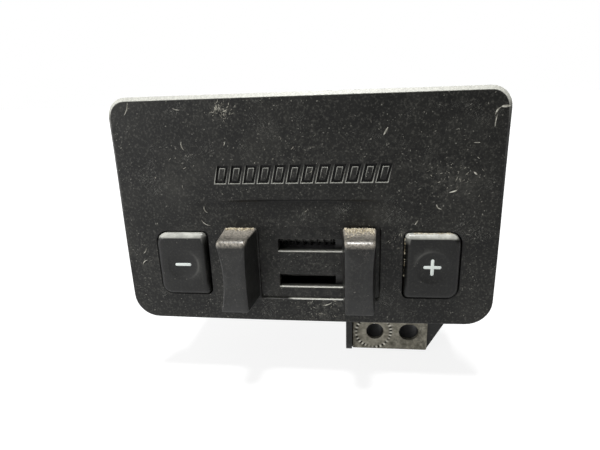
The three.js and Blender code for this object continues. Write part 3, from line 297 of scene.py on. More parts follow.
def triangulate(
    edge: Outline,
    holes: Sequence[Array],
    guides: Sequence[Array],
    inside: Callable[[Array, Array], Array],
    step: float,
    quiet: Callable[[Array, Array], Array],
) -> tuple[Array, Array]:
    """Divides a flat region with holes into triangles that follow its guide lines.

    Args:
        edge: outer outline.
        holes: closed loops of the holes.
        guides: closed loops that the triangles keep as edges.
        inside: true where a triangle's middle belongs to the region.
        step: spacing of the even points in its open parts.
        quiet: true where an even point may stand, clear of the guide lines.

    Returns:
        Points (n, 2) and triangles (k, 3).
    """
    loops = [edge.loop(), *holes, *guides]
    points: list[Array] = []
    edges: list[Array] = []
    count = 0
    for loop in loops:
        index = np.arange(len(loop)) + count
        edges.append(np.stack([index, np.roll(index, -1)], 1))
        points.append(loop)
        count += len(loop)
    grid_x, grid_z = np.meshgrid(
        np.arange(edge.x0 + step / 2, edge.x1, step), np.arange(edge.z0 + step / 2, edge.z1, step)
    )
    even = np.stack([grid_x.ravel(), grid_z.ravel()], 1)
    points.append(even[quiet(even[:, 0], even[:, 1])])
    flat = [Vector(p) for p in np.concatenate(points).tolist()]
    result = delaunay_2d_cdt(flat, np.concatenate(edges).tolist(), [], 0, 1e-5)
    vertices = np.array([v[:] for v in result[0]])
    triangles = np.array([f for f in result[2] if len(f) == 3])
    middle = vertices[triangles].mean(1)
    return vertices, triangles[inside(middle[:, 0], middle[:, 1])]


def thick_sheet(points: Array, triangles: Array, front: Height, back: Height) -> Shell:
    """Closed slab over a flat triangulation.

    The front surface is y = front(x, z), the back is y = back(x, z), and a strip joins them along
    every edge that only one triangle uses.

    Args:
        points: flat points, rows of x, z.
        triangles: rows of three indices.
        front: depth of the front surface.
        back: depth of the back surface.

    Returns:
        The shell.
    """
    x, z = points.T
    near = np.stack([x, front(x, z), z], 1)
    far = np.stack([x, back(x, z), z], 1)
    sides = np.concatenate([triangles[:, [0, 1]], triangles[:, [1, 2]], triangles[:, [2, 0]]])
    key = np.sort(sides, 1)
    _, index, uses = np.unique(key, axis=0, return_index=True, return_counts=True)
    rim = sides[index[uses == 1]]
    shell = Shell()
    count = len(points)
    strip = np.stack([rim[:, 0], rim[:, 1], rim[:, 1] + count, rim[:, 0] + count], 1)
    shell.add(np.vstack([near, far]), triangles, triangles[:, ::-1] + count, strip)
    return shell


def tube(rings: Array) -> Shell:
    """Rings joined up and capped at both ends."""
    return Shell().rings(rings).cap(rings[0]).cap(rings[-1])


def prism(loop: Callable[[float], Array], profile: Sequence[tuple[float, float]]) -> Shell:
    """Solid whose section is carried along Y: each row of the profile is (inset, y).

    Args:
        loop: gives the closed outline at an inset.
        profile: inset and depth of each ring, front to back.

    Returns:
        The shell, capped at both ends.
    """
    return tube(np.stack([at_height(loop(inset), y) for inset, y in profile]))


def rounded_profile(y0: float, y1: float, front: float, back: float) -> list[tuple[float, float]]:
    """Profile rows for a prism with quarter-round front and back edges, each of two steps."""
    turns = [(math.sin(a), math.cos(a)) for a in np.linspace(0, math.pi / 2, 3)]
    rows = [(front * (1 - sine), y0 + front * (1 - cosine)) for sine, cosine in turns]
    return rows + [(back * (1 - cosine), y1 - back * (1 - sine)) for sine, cosine in turns]


def lathe(
    centre: tuple[float, float], profile: Sequence[tuple[float, float]], sides: int, along_x: bool = False
) -> Shell:
    """Turned solid: rows of (radius, distance) spun round an axis along Y, closed at both poles.

    Args:
        centre: the axis's two other coordinates, in x, y, z order.
        profile: radius and place along the axis, from one pole to the other.
        sides: points in each ring.
        along_x: turns it round an axis along X instead.

    Returns:
        The shell.
    """
    angle = np.arange(sides) / sides * 2 * np.pi
    rows = np.array(profile, float)
    first = centre[0] + rows[:, :1] * np.cos(angle)
    second = centre[1] + rows[:, :1] * np.sin(angle)
    run = np.broadcast_to(rows[:, 1:], first.shape)
    return Shell().rings(np.stack((run, first, second) if along_x else (first, run, second), -1))


# ---------------------------------------------------------------- finishes


def linear(hex_colour: str) -> tuple[float, float, float, float]:
    """Linear RGBA of an sRGB hex colour."""
    channels = [int(hex_colour[i : i + 2], 16) / 255 for i in (1, 3, 5)]
    red, green, blue = [c / 12.92 if c <= 0.04045 else ((c + 0.055) / 1.055) ** 2.4 for c in channels]
    return red, green, blue, 1.0


def feed(tree: Tree, node: Any, inputs: dict[Any, Any]) -> None:
    """Gives each named or numbered input of a node its socket or its plain value."""
    for name, value in inputs.items():
        if isinstance(value, bpy.types.NodeSocket):
            tree.links.new(value, node.inputs[name])
        else:
            node.inputs[name].default_value = value


def add(tree: Tree, kind: str, inputs: dict[Any, Any] | None = None, **settings: Any) -> Any:
    """Adds a node with its settings and inputs.

    Args:
        tree: node tree that it goes into.
        kind: the node's type name, without the ShaderNode prefix.
        inputs: input name or number to the output socket that feeds it, or to a plain value.
        settings: properties of the node itself, such as operation or blend_type.

    Returns:
        The new node.
    """
    node = tree.nodes.new("ShaderNode" + kind)
    for name, value in settings.items():
        setattr(node, name, value)
    feed(tree, node, inputs or {})
    return node


def new_tree(name: str) -> tuple[Material, Tree, Any, Any]:
    """A material with its shader node and a millimetre copy of Object coordinates."""
    material = bpy.data.materials.new(name)
    material.use_nodes = True
    tree = material.node_tree
    tree.nodes.clear()
    shader = add(tree, "BsdfPrincipled")
    add(tree, "OutputMaterial", {"Surface": shader.outputs[0]})
    metres = {"Vector": add(tree, "TexCoord").outputs["Object"], "Scale": (1 / MM,) * 3}
    return material, tree, shader, add(tree, "Mapping", metres).outputs[0]


def attribute(tree: Tree, name: str) -> Any:
    """The piece's own point attribute of that name."""
    return add(tree, "Attribute", attribute_name=name).outputs["Fac"]


def noise(tree: Tree, place: Any, size: float, detail: float = 3.0, rough: float = 0.5) -> Any:
    """Noise whose lumps are about that many millimetres across."""
    inputs = {"Vector": place, "Scale": 1 / size, "Detail": detail, "Roughness": rough}
    return add(tree, "TexNoise", inputs).outputs["Fac"]


def ramp(tree: Tree, value: Any, low: float, high: float, to: tuple[float, float] = (0, 1)) -> Any:
    """Smooth ramp of a value between two levels."""
    inputs = {"Value": value, "From Min": low, "From Max": high, "To Min": to[0], "To Max": to[1]}
    return add(tree, "MapRange", inputs, interpolation_type="SMOOTHSTEP").outputs["Result"]


def combine(tree: Tree, operation: str, first: Any, second: Any, clamp: bool = True) -> Any:
    """One arithmetic step on two values, held between 0 and 1 unless clamp is off."""
    return add(tree, "Math", {0: first, 1: second}, operation=operation, use_clamp=clamp).outputs[0]


def times(tree: Tree, first: Any, second: Any) -> Any:
    """Product of two values, held between 0 and 1."""
    return combine(tree, "MULTIPLY", first, second)


def blend(tree: Tree, share: Any, first: Any, second: Any) -> Any:
    """Mix of two colours."""
    return add(tree, "Mix", {"Factor": share, 6: first, 7: second}, data_type="RGBA").outputs[2]


def blend_value(tree: Tree, share: Any, first: Any, second: Any) -> Any:
    """Mixes two plain values."""
    return add(tree, "Mix", {"Factor": share, 2: first, 3: second}, data_type="FLOAT").outputs[0]


@dataclass(frozen=True)
class MouldedPlastic:
    """Injection-moulded thermoplastic in service: mottled skin, grain, dust, scratches, edge rubbing.

    Its refractive index is 1.5, as ABS and nylon have. The specks are dust caught in the grain. The pale
    edge colour follows the piece's own rubbing attribute, which holds real rubbing and painted highlights on
    edges that face up; the near-black follows its recess attribute, which is painted shade.
    """

    name: str
    dark: str
    light: str
    roughness: float
    grain: float  # millimetres between grains
    grain_height: float  # millimetres
    dust: float = 0.0  # 0 clean to 1 thick
    scratches: float = 0.0
    worn: str = "#8b8880"
    worn_roughness: float = 0.34
    wear_grain: float = 0.7  # millimetres
    wear_and_highlight_floor: float = 0.3  # least share of the rubbing and painted highlight that shows, 1 for an even rub
    dust_colour: str = "#b4b2a6"
    gloss: float = 0.5

    def specks(self, tree: Tree, place: Any, spacing: float, share: float, size: float) -> Any:
        """Scattered specks: one cell in so many, each with its own size and strength.

        Args:
            tree: node tree.
            place: coordinates in millimetres.
            spacing: width of a cell in millimetres.
            share: share of the cells that hold a speck.
            size: largest speck radius as a share of the cell.

        Returns:
            Mask socket, up to 1 on a speck.
        """
        wobble = add(tree, "TexNoise", {"Vector": place, "Scale": 1.6}).outputs["Color"]
        warped = add(tree, "VectorMath", {0: place, 1: wobble}, operation="ADD").outputs[0]
        cells = add(tree, "TexVoronoi", {"Vector": warped, "Scale": 1 / spacing})
        chosen = add(tree, "SeparateColor", {"Color": cells.outputs["Color"]})
        cloud = ramp(tree, noise(tree, place, 11.0, 3.0), 0.4, 0.75, (0.12, 0.6))
        density = combine(tree, "ADD", cloud, attribute(tree, "dust"), False)
        limit = combine(tree, "MULTIPLY", density, share, False)
        present = combine(tree, "LESS_THAN", chosen.outputs[0], limit)
        reach = ramp(tree, chosen.outputs[1], 0.0, 1.0, (size * 0.35, size))
        near = combine(tree, "SUBTRACT", reach, cells.outputs["Distance"], False)
        solid = times(tree, present, ramp(tree, near, 0.0, size * 0.4))
        return times(tree, solid, ramp(tree, chosen.outputs[2], 0.1, 1.0, (0.12, 1.0)))

    def hairlines(self, tree: Tree, place: Any, turn: float, length: float) -> Any:
        """Thin straight scratches: narrow bands of a noise that is stretched along one direction."""
        turned = add(tree, "Mapping", {"Vector": place, "Rotation": (0, math.radians(turn), 0)})
        drawn = add(tree, "Mapping", {"Vector": turned.outputs[0], "Scale": (1 / length, 0.3, 1.3)})
        bands = noise(tree, drawn.outputs[0], 1.0, 1.0)
        off = combine(tree, "SUBTRACT", bands, 0.52, False)
        line = ramp(tree, add(tree, "Math", {0: off}, operation="ABSOLUTE").outputs[0], 0.0, 0.006, (1, 0))
        return times(tree, line, ramp(tree, noise(tree, place, 9.0, 1.0), 0.6, 0.7))

    def build(self) -> Material:
        """Makes the material."""
        material, tree, shader, place = new_tree(self.name)
        mottle = ramp(tree, noise(tree, place, 7.0, 4.0, 0.6), 0.3, 0.7)
        colour = blend(tree, mottle, linear(self.dark), linear(self.light))
        ends = self.roughness - 0.04, self.roughness + 0.06
        rough = ramp(tree, noise(tree, place, 3.0, 3.0), 0.3, 0.7, ends)
        if self.dust:
            pale = linear(self.dust_colour)
            film = ramp(tree, noise(tree, place, 16.0, 5.0, 0.65), 0.45, 0.8)
            colour = blend(tree, times(tree, film, 0.05 * self.dust), colour, pale)
            tone = ramp(tree, noise(tree, place, 0.8, 5.0, 0.7), 0.48, 0.72, (0.0, 0.14 * self.dust))
            colour = blend(tree, tone, colour, pale)
            haze = ramp(tree, noise(tree, place, 1.8, 4.0, 0.65), 0.42, 0.68, (0.0, 0.1))
            colour = blend(tree, times(tree, attribute(tree, "dust"), haze), colour, pale)
            fine = self.specks(tree, place, 0.6, 0.6 * self.dust, 0.4)
            coarse = self.specks(tree, place, 2.8, 0.3 * self.dust, 0.1)
            grit = combine(tree, "MAXIMUM", times(tree, fine, 0.55), coarse)
            colour = blend(tree, times(tree, grit, 0.7), colour, pale)
            rough = combine(tree, "MAXIMUM", rough, times(tree, grit, 0.9))
        if self.scratches:
            steep, shallow = self.hairlines(tree, place, -62, 6.0), self.hairlines(tree, place, 35, 9.0)
            lines = times(tree, combine(tree, "MAXIMUM", shallow, steep), self.scratches)
            colour = blend(tree, lines, colour, linear(self.worn))
        # Painted shade: the recess attribute darkens groove floors, the line under the scoop's crease and the
        # lips round the keys to near-black.
        colour = blend(tree, times(tree, attribute(tree, "recess"), 0.95), colour, linear("#040404"))
        # Pale edge colour: real rubbing mixed with painted highlights where edges face the overhead light.
        broken = ramp(tree, noise(tree, place, self.wear_grain, 4.0, 0.7), 0.36, 0.62, (self.wear_and_highlight_floor, 1.0))
        rubbed_and_lit = times(tree, attribute(tree, "wear_and_highlight"), broken)
        colour = blend(tree, rubbed_and_lit, colour, linear(self.worn))
        rough = blend_value(tree, rubbed_and_lit, rough, self.worn_roughness)
        grain = noise(tree, place, self.grain, 2.0)
        bump = add(tree, "Bump", {"Height": grain, "Strength": 0.55, "Distance": self.grain_height * MM})
        inputs = {"Base Color": colour, "Roughness": rough, "Normal": bump.outputs[0]}
        feed(tree, shader, {**inputs, "IOR": 1.5, "Specular IOR Level": self.gloss})
        return material


@dataclass(frozen=True)
class PlatedSteel:
    """Zinc-plated steel: a metal with faint rolled streaks; when scuffed, dirt dulls it in patches."""

    name: str
    bright: str
    dull: str
    roughness: float
    dirt: float = 0.0
    dirt_colour: str = "#6e6a5c"

    def build(self) -> Material:
        """Makes the material."""
        material, tree, shader, place = new_tree(self.name)
        cloud = ramp(tree, noise(tree, place, 2.2, 4.0, 0.6), 0.3, 0.7)
        colour = blend(tree, cloud, linear(self.bright), linear(self.dull))
        rough = ramp(tree, noise(tree, place, 0.9, 3.0), 0.3, 0.7, (self.roughness, self.roughness + 0.16))
        metal: Any = 1.0
        if self.dirt:
            film = ramp(tree, noise(tree, place, 1.6, 5.0, 0.65), 0.62 - self.dirt * 0.4, 0.72)
            film = combine(tree, "MAXIMUM", film, attribute(tree, "wear_and_highlight"))
            film = blend_value(tree, times(tree, attribute(tree, "polish"), 0.75), film, 0.0)
            colour = blend(tree, film, colour, linear(self.dirt_colour))
            rough = combine(tree, "MAXIMUM", rough, times(tree, film, 0.8))
            metal = combine(tree, "SUBTRACT", 1.0, times(tree, film, 0.75))
            colour = blend(tree, attribute(tree, "tooth"), colour, linear("#f2efe2"))
            # Near-black in the gouges between the teeth, and painted shade along the plate's lower edge.
            colour = blend(tree, attribute(tree, "gouge_and_shade"), colour, linear("#0d0c0a"))
        fine = noise(tree, place, 0.35, 3.0)
        bump = add(tree, "Bump", {"Height": fine, "Strength": 0.3, "Distance": 0.02 * MM})
        inputs = {"Base Color": colour, "Roughness": rough, "Normal": bump.outputs[0], "Metallic": metal}
        feed(tree, shader, inputs)
        return material


@dataclass(frozen=True)
class ClearMoulding:
    """Milky light-guide acrylic or unfilled resin: smooth, slightly translucent to the eye."""

    name: str
    colour: str
    shade: str
    roughness: float
    ior: float = 1.49

    def build(self) -> Material:
        """Makes the material."""
        material, tree, shader, place = new_tree(self.name)
        colour = blend(tree, noise(tree, place, 1.2, 3.0), linear(self.colour), linear(self.shade))
        feed(tree, shader, {"Base Color": colour, "Roughness": self.roughness, "IOR": self.ior})
        return material


@dataclass(frozen=True)
class LooseGrime:
    """Dry lint, grit and crumbs: fully matt, with two shades so that no two grains match."""

    name: str
    pale: str
    tan: str

    def build(self) -> Material:
        """Makes the material."""
        material, tree, shader, place = new_tree(self.name)
        shade = ramp(tree, noise(tree, place, 0.9, 2.0), 0.38, 0.62)
        colour = blend(tree, shade, linear(self.pale), linear(self.tan))
        feed(tree, shader, {"Base Color": colour, "Roughness": 0.92, "IOR": 1.45})
        return material


@dataclass(frozen=True)
class BoardLaminate:
    """Glass-epoxy circuit board under black-green solder mask, with its copper runs faintly showing."""

    name: str = "solder_masked_glass_epoxy"
    mask: str = "#0c120f"
    track: str = "#15201a"
    track_pitch: float = 1.9  # millimetres between copper runs

    def build(self) -> Material:
        """Makes the material."""
        material, tree, shader, place = new_tree(self.name)
        inputs = {"Vector": place, "Scale": 1 / self.track_pitch}
        cells = add(tree, "TexVoronoi", inputs, distance="MANHATTAN")
        runs = ramp(tree, cells.outputs["Distance"], 0.35, 0.4)
        colour = blend(tree, runs, linear(self.mask), linear(self.track))
        feed(tree, shader, {"Base Color": colour, "Roughness": 0.32})
        return material


class Finishes:
    """Every finish of the controller, made once."""

    def __init__(self) -> None:
        """Builds the materials; a plastic's numbers are roughness, grain spacing and grain height."""
        plastic, steel, clear, loose = MouldedPlastic, PlatedSteel, ClearMoulding, LooseGrime
        # The first colour of each set below is the pale edge colour: it paints highlights on the bezel's top
        # chamfer and rims and on the levers' and keys' top roundings, mixed with real rubbing.
        face = {"worn": "#cfcfc6", "dust_colour": "#c4c2b6", "wear_and_highlight_floor": 0.75, "gloss": 0.32}
        grip = {"worn": "#b3aca0", "worn_roughness": 0.25}
        cap = {"worn": "#c4c4bc", "worn_roughness": 0.24, "wear_grain": 3.0, "wear_and_highlight_floor": 0.7, "gloss": 0.4}
        name = "charcoal_abs_spark_eroded"
        self.bezel = plastic(name, "#131312", "#1b1b19", 0.46, 0.4, 0.06, 0.7, 0.3, **face).build()
        name = "charcoal_abs_handled"
        self.lever = plastic(name, "#171716", "#222221", 0.36, 0.55, 0.09, 0.35, 0.3, **grip).build()
        self.key = plastic("black_abs_key", "#0f0f0e", "#171716", 0.34, 0.5, 0.04, 0.3, 0.2, **cap).build()
        name = "glass_filled_black_nylon"
        self.nylon = plastic(name, "#141414", "#1f1f1e", 0.52, 0.8, 0.06, 0.2, 0.2).build()
        self.component = plastic("black_epoxy_moulding", "#131314", "#1b1b1c", 0.45, 0.4, 0.02).build()
        self.dark_acetal = plastic("black_acetal", "#2c2c2b", "#353534", 0.36, 0.6, 0.01).build()
        self.symbol = clear("milky_acrylic_light_guide", "#f6fbf7", "#e9f2ec", 0.35).build()
        self.acetal = clear("natural_acetal", "#ddd9cc", "#cfcabb", 0.42, 1.48).build()
        self.steel = steel("bright_zinc_plated_steel", "#c6c7c5", "#a3a49f", 0.26).build()
        self.spring = steel("oiled_spring_steel", "#6a6a68", "#4c4c4a", 0.45, 0.7, "#4a4a48").build()
        self.rod = steel("greased_ground_steel", "#b0b0ac", "#90908c", 0.5, 0.95, "#8a8a86").build()
        name = "scuffed_zinc_plated_steel"
        self.foot_plate = steel(name, "#aeaa9c", "#7d796d", 0.42, 0.75, "#5d5a4e").build()
        self.contact = steel("tinned_copper_alloy", "#d0cdc1", "#b3b0a5", 0.22).build()
        self.lint = loose("pale_lint", "#b8b5a8", "#55534c").build()
        self.scratch = loose("whitened_scratches", "#c9c7bb", "#8a887e").build()
        self.crumb = loose("tan_crumbs", "#e4dcc6", "#a3957a").build()
        self.board = BoardLaminate().build()


def dress(piece: Piece, material: Material) -> None:
    """Gives a piece that one material."""
    piece.data.materials.clear()
    piece.data.materials.append(material)


def install(
    shell: Shell, name: str, material: Material, *nodes: str, body: str = "unit", slot: str = "black_abs"
) -> Piece:
    """Builds a piece, dresses it and puts it on its body in place of its frame nodes.

    Args:
        shell: the mesh being built.
        name: name of the piece.
        material: its finish.
        nodes: frame nodes that it stands for.
        body: the body that it rides on.
        slot: the record's material slot of the piece; not used.

    Returns:
        The piece.
    """
    piece = shell.build(name)
    dress(piece, material)
    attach(piece, body)
    if nodes:
        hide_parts(*nodes)
    return piece


def mark(piece: Piece, name: str, value: Callable[[Array], Array]) -> None:
    """Writes a point attribute: value takes the points in millimetres and gives 0 to 1."""
    count = len(piece.data.vertices)
    flat = np.empty(count * 3)
    piece.data.vertices.foreach_get("co", flat)
    layer = piece.data.attributes.new(name, "FLOAT", "POINT")
    layer.data.foreach_set("value", unit(value(flat.reshape(-1, 3) / MM)).astype(np.float32))


# ---------------------------------------------------------------- sub-assemblies


@dataclass
class ControlLayout:
    """Sizes that several sub-assemblies share, in millimetres."""

    front_y: float = -3.0
    panel_back_y: float = -0.8
    row_z: float = -17.4
    key_x: float = 42.0
    key_width: float = 18.2
    key_height: float = 23.2
    key_outer_radius: float = 4.0
    key_inner_radius: float = 1.8
    fixed_lever_x: float = -21.2
    sliding_lever_x: float = 18.5
    pocket: tuple[float, float, float, float] = (-15.35, 25.35, -30.2, -4.1)
    slot_left_x: float = -8.7
    slot_right_x: float = 23.0
    slots: tuple[tuple[float, float], ...] = ((-10.9, 4.3), (-23.85, 4.6))

    def key_window(self, side: int) -> Outline:
        """Window of the key on that side, -1 left or 1 right; its outer corners are rounder."""
        x = side * self.key_x
        half, tall = self.key_width / 2, self.key_height / 2
        outer, inner = self.key_outer_radius, self.key_inner_radius
        left, right = (outer, inner) if side < 0 else (inner, outer)
        return Outline(x - half, x + half, self.row_z - tall, self.row_z + tall, left, right, right, left)

    def pocket_outline(self) -> Outline:
        """Outline of the recess between the levers."""
        return Outline.even(*self.pocket, 1.2)

    def slot_outline(self, index: int) -> Outline:
        """Outline of the upper (0) or lower (1) slot."""
        z, height = self.slots[index]
        return Outline.even(self.slot_left_x, self.slot_right_x, z - height / 2, z + height / 2, 0.25)

    def windows(self) -> list[Outline]:
        """The three windows in the face: the left key's, the right key's and the pocket's."""
        return [self.key_window(-1), self.key_window(1), self.pocket_outline()]


@dataclass
class BezelPlate:
    """The moulded face: rounded edges, key windows, pocket window, gauge grooves and thumb scoop."""

    layout: ControlLayout
    finishes: Finishes
    top_radius: float = 6.4
    bottom_radius: float = 8.5
    top_chamfer: float = 1.25
    lower_round: float = 0.45
    chamfer_from: float = -20.0  # height where the chamfer starts to take over
    chamfer_over: float = 50.0
    bottom_bow: float = 0.35
    bow_from: float = -20.0
    bow_over: float = 16.0
    bow_half: float = 54.0
    boss_radius: float = 3.0
    boss_bore: float = 1.45
    boss_ends: tuple[float, float] = (-1.5, 3.0)
    lip_round: float = 0.3
    rim_width: float = 2.4
    gauge_cells: int = 12
    gauge_length: float = 57.0
    gauge_height: float = 5.9
    gauge_z: float = 13.6
    gauge_stroke: float = 0.9
    gauge_gap: float = 1.1
    gauge_depth: float = 0.85
    gauge_draft: float = 0.1
    gauge_slope: float = 0.24  # run of a cell's slanted side to its rise
    scoop_middle: float = -1.35
    scoop_half: float = 36.0
    scoop_top: float = 4.7
    scoop_bottom: float = -4.6
    scoop_depth: float = 0.8
    crease_arch: float = 0.6
    crease_step: float = 0.9
    grid: float = 3.0

    def __post_init__(self) -> None:
        """Reads the plate's outline from the frame."""
        low, high = node_box("bezel")
        top, bottom = self.top_radius, self.bottom_radius
        self.edge = Outline(low[0], high[0], low[2], high[2], top, top, bottom, bottom)
        self.windows = self.layout.windows()

    def cell_side(self, x: Array, z: Array) -> Array:
        """Distance inside the nearer slanted side of the gauge cell at each point."""
        sheared = x - self.gauge_slope * (z - self.gauge_z) + self.gauge_length / 2
        pitch = self.gauge_length / self.gauge_cells
        local = sheared - np.clip(np.floor(sheared / pitch), 0, self.gauge_cells - 1) * pitch
        return np.minimum(local - self.gauge_gap / 2, pitch - self.gauge_gap / 2 - local)

    def gauge(self, x: Array, z: Array) -> Array:
        """Groove depth of the slanted hollow cells: a band of one stroke inside each cell's edge."""
        inside = np.minimum(self.cell_side(x, z), self.gauge_height / 2 - np.abs(z - self.gauge_z))
        band = self.gauge_stroke / 2 - np.abs(inside - self.gauge_stroke / 2)
        return self.gauge_depth * unit(band / self.gauge_draft)

    def gauge_loops(self) -> list[Array]:
        """Slanted loops along the top and foot of every groove wall, and just outside its rims."""
        pitch = self.gauge_length / self.gauge_cells
        insets = (-0.3, 0.0, self.gauge_draft, self.gauge_stroke - self.gauge_draft, self.gauge_stroke)
        loops = []
        for cell in range(self.gauge_cells):
            for inset in (*insets, self.gauge_stroke + 0.24):
                left = cell * pitch + self.gauge_gap / 2 + inset - self.gauge_length / 2
                right = (cell + 1) * pitch - self.gauge_gap / 2 - inset - self.gauge_length / 2
                tall = self.gauge_height / 2 - inset
                corners = np.array([(left, -tall), (right, -tall), (right, tall), (left, tall)])
                corners[:, 0] += self.gauge_slope * corners[:, 1]
                loops.append(corners + np.array([0, self.gauge_z]))
        return loops

    def gauge_rims(self, x: Array, z: Array) -> Array:
        """1 on the rims that face up: each cell's lower outer rim and its island's upper rim."""
        side = self.cell_side(x, z)
        outer = (np.abs(z - self.gauge_z + self.gauge_height / 2) < 0.04) & (side > -0.03)
        top = self.gauge_height / 2 - self.gauge_stroke
        island = (np.abs(z - self.gauge_z - top) < 0.04) & (side > self.gauge_stroke - 0.03)
        return 1.0 * (outer | island)

    def crease(self, x: Array) -> Array:
        """Height of the scoop's upper crease, slightly arched."""
        share = (x - self.scoop_middle) / self.scoop_half
        return self.scoop_top + self.crease_arch * (1 - share * share)

    def scoop(self, x: Array, z: Array) -> Array:
        """Depth of the thumb scoop: a soft step under the crease that runs out downwards.

        It is the depth times (1 - s^2)^0.7 across, a smooth step below the crease and a straight
        run-out to the lower edge.
        """
        share = unit(np.abs(x - self.scoop_middle) / self.scoop_half)
        across = (1 - share**2) ** 0.7
        top = self.crease(x)
        step = smoothstep((top - z) / self.crease_step)
        out = unit((z - self.scoop_bottom) / (top - self.scoop_bottom))
        return self.scoop_depth * across * step * out

    def edge_break(self, x: Array, z: Array) -> Array:
        """How far the outer edge falls back: a flat chamfer along the top, a small round below.

        The chamfer's depth is its width less the distance from the edge; a smooth step down the
        sides passes from one to the other.
        """
        depth = self.edge.depth(x, z)
        chamfer = np.clip(self.top_chamfer - depth * 1.1, 0, None)
        share = smoothstep((z - self.chamfer_from) / self.chamfer_over)
        return share * chamfer + (1 - share) * quarter_round(depth, self.lower_round)

    def bow(self, p: Array) -> Array:
        """The lower edge bows out: points move down by b (1 - (x/w)^2), fading out up the face."""
        share = unit((self.bow_from - p[:, 2]) / self.bow_over)
        moved = p.copy()
        moved[:, 2] -= self.bottom_bow * share * np.clip(1 - (p[:, 0] / self.bow_half) ** 2, 0, None)
        return moved

    def front(self, x: Array, z: Array) -> Array:
        """Front surface: the flat face with every edge, groove and scoop let into it."""
        y = self.layout.front_y + self.edge_break(x, z)
        for window in self.windows:
            y = y + quarter_round(-window.depth(x, z), self.lip_round)
        return y + self.gauge(x, z) + self.scoop(x, z)

    def back(self, x: Array, z: Array) -> Array:
        """Back surface: a rim round the edge, and the thinner panel inside it."""
        return np.where(self.edge.depth(x, z) <= self.rim_width + 0.01, 0.0, self.layout.panel_back_y)

    def quiet(self, x: Array, z: Array) -> Array:
        """True where an even point stands clear of every guide line."""
        clear = self.edge.depth(x, z) > self.rim_width + 1.0
        above = np.abs(z - self.gauge_z) > self.gauge_height / 2 + 0.8
        for window in self.windows:
            clear &= -window.depth(x, z) > self.lip_round + 0.6
        clear &= (np.abs(x) > self.gauge_length / 2 + 2) | above
        return clear & ~self.in_scoop(x, z)

    def in_scoop(self, x: Array, z: Array) -> Array:
        """True in the band that the scoop's own closer points fill."""
        return (np.abs(x - self.scoop_middle) < self.scoop_half + 1) & (z > -4) & (z < self.scoop_top + 2)

    def plate(self) -> Shell:
        """The plate itself, as a slab over its divided outline."""
        rim = self.rim_width
        insets = [0.05, 0.12, 0.24, 0.45, 0.8, self.top_chamfer / 1.1, 1.35, rim, rim + 0.06]
        guides = [self.edge.grown(-inset).loop() for inset in insets]
        lip = [0.04, 0.14, self.lip_round, self.lip_round + 0.12]
        guides += [window.grown(offset).loop(6, 2.0) for window in self.windows for offset in lip]
        guides += self.gauge_loops()
        spread_x = np.linspace(self.scoop_middle - self.scoop_half, self.scoop_middle + self.scoop_half, 73)
        offsets = np.array([-0.6, 0.0, 0.2, 0.4, 0.6, 0.8, 1.1, 1.8, 3.0, 4.6, 6.4])
        rows = [np.stack([spread_x, self.crease(spread_x) - offset], 1) for offset in offsets]
        closed_rows = [np.vstack([a, b[::-1]]) for a, b in zip(rows[:-1:2], rows[1::2])]
        points, triangles = triangulate(
            self.edge,
            [window.loop(6, 2.0) for window in self.windows],
            guides + closed_rows,
            lambda x, z: (self.edge.depth(x, z) > 0) & np.all([w.depth(x, z) < 0 for w in self.windows], 0),
            self.grid,
            self.quiet,
        )
        return thick_sheet(points, triangles, self.front, self.back)

    def add_bosses(self, shell: Shell) -> None:
        """Screw bosses that stand behind the panel."""
        for index in range(1, 5):
            low, high = node_box(f"housing_screw_{index}")
            middle = (low + high) / 2
            (front, back), wide, bore = self.boss_ends, self.boss_radius, self.boss_bore
            profile = [(0, front), (wide, front), (wide, back - 0.2), (wide - 0.2, back)]
            profile += [(bore, back), (bore, 0.0), (0, 0.0)]
            shell.join(lathe((middle[0], middle[2]), profile, 24))

    def wear_and_highlight(self, p: Array) -> Array:
        """Painted highlight where the face meets the overhead light: the top chamfer, with real rubbing mixed
        in, the gauge's upward rims and the pocket's lower edge.
        """
        x, y, z = p.T
        depth = self.edge.depth(x, z)
        outer = (depth < self.top_chamfer / 1.1 + 0.02) * (y < -0.9) * smoothstep((z - 31.0) / 4.0)
        pocket = self.windows[2]
        middle = (np.abs(x - 9.0) < 14) * (y < -2)
        lower = (-pocket.depth(x, z) < self.lip_round) * (z < pocket.z0 + 0.05) * middle
        rims = self.gauge_rims(x, z) * (y < self.layout.front_y + 0.05)
        return np.maximum.reduce([1.0 * outer, 0.9 * lower, 1.0 * rims])

    def recess(self, p: Array) -> Array:
        """Painted shade, near-black: on the groove floors, as a shadow line under the scoop's crease and on
        the lips round the key windows.
        """
        x, y, z = p.T
        groove = smoothstep((self.gauge(x, z) / self.gauge_depth - 0.5) / 0.4)
        under = self.crease(x) - z
        fade = unit(1 - ((x - self.scoop_middle) / self.scoop_half) ** 2) ** 0.5
        line = smoothstep(under / 0.25) * smoothstep((2.6 - under) / 1.8) * fade
        gaps = np.minimum(-self.windows[0].depth(x, z), -self.windows[1].depth(x, z))
        gap = smoothstep((self.lip_round + 0.1 - gaps) / 0.25)
        return np.maximum.reduce([groove * (y < -2), 0.7 * line * (y < -2), gap])

    def dust(self, p: Array) -> Array:
        """Thicker dust in a few patches; each is a centre, a radius and a weight."""
        patches = (
            (-25.0, 33.6, 4.0, 1.0),
            (-40.0, 17.0, 6.0, 0.35),
            (0.0, 21.0, 12.0, 0.35),
            (26.0, 20.6, 8.0, 0.3),
            (46.0, 12.0, 11.0, 0.6),
            (32.2, -8.0, 4.5, 1.0),
            (5.5, -34.2, 8.0, 1.0),
            (-54.0, -18.0, 6.0, 0.6),
            (-31.0, 2.0, 5.0, 0.3),
        )
        total = np.zeros(len(p))
        for x, z, radius, weight in patches:
            total += weight * np.exp(-(((p[:, 0] - x) ** 2 + (p[:, 2] - z) ** 2) / radius**2))
        return total

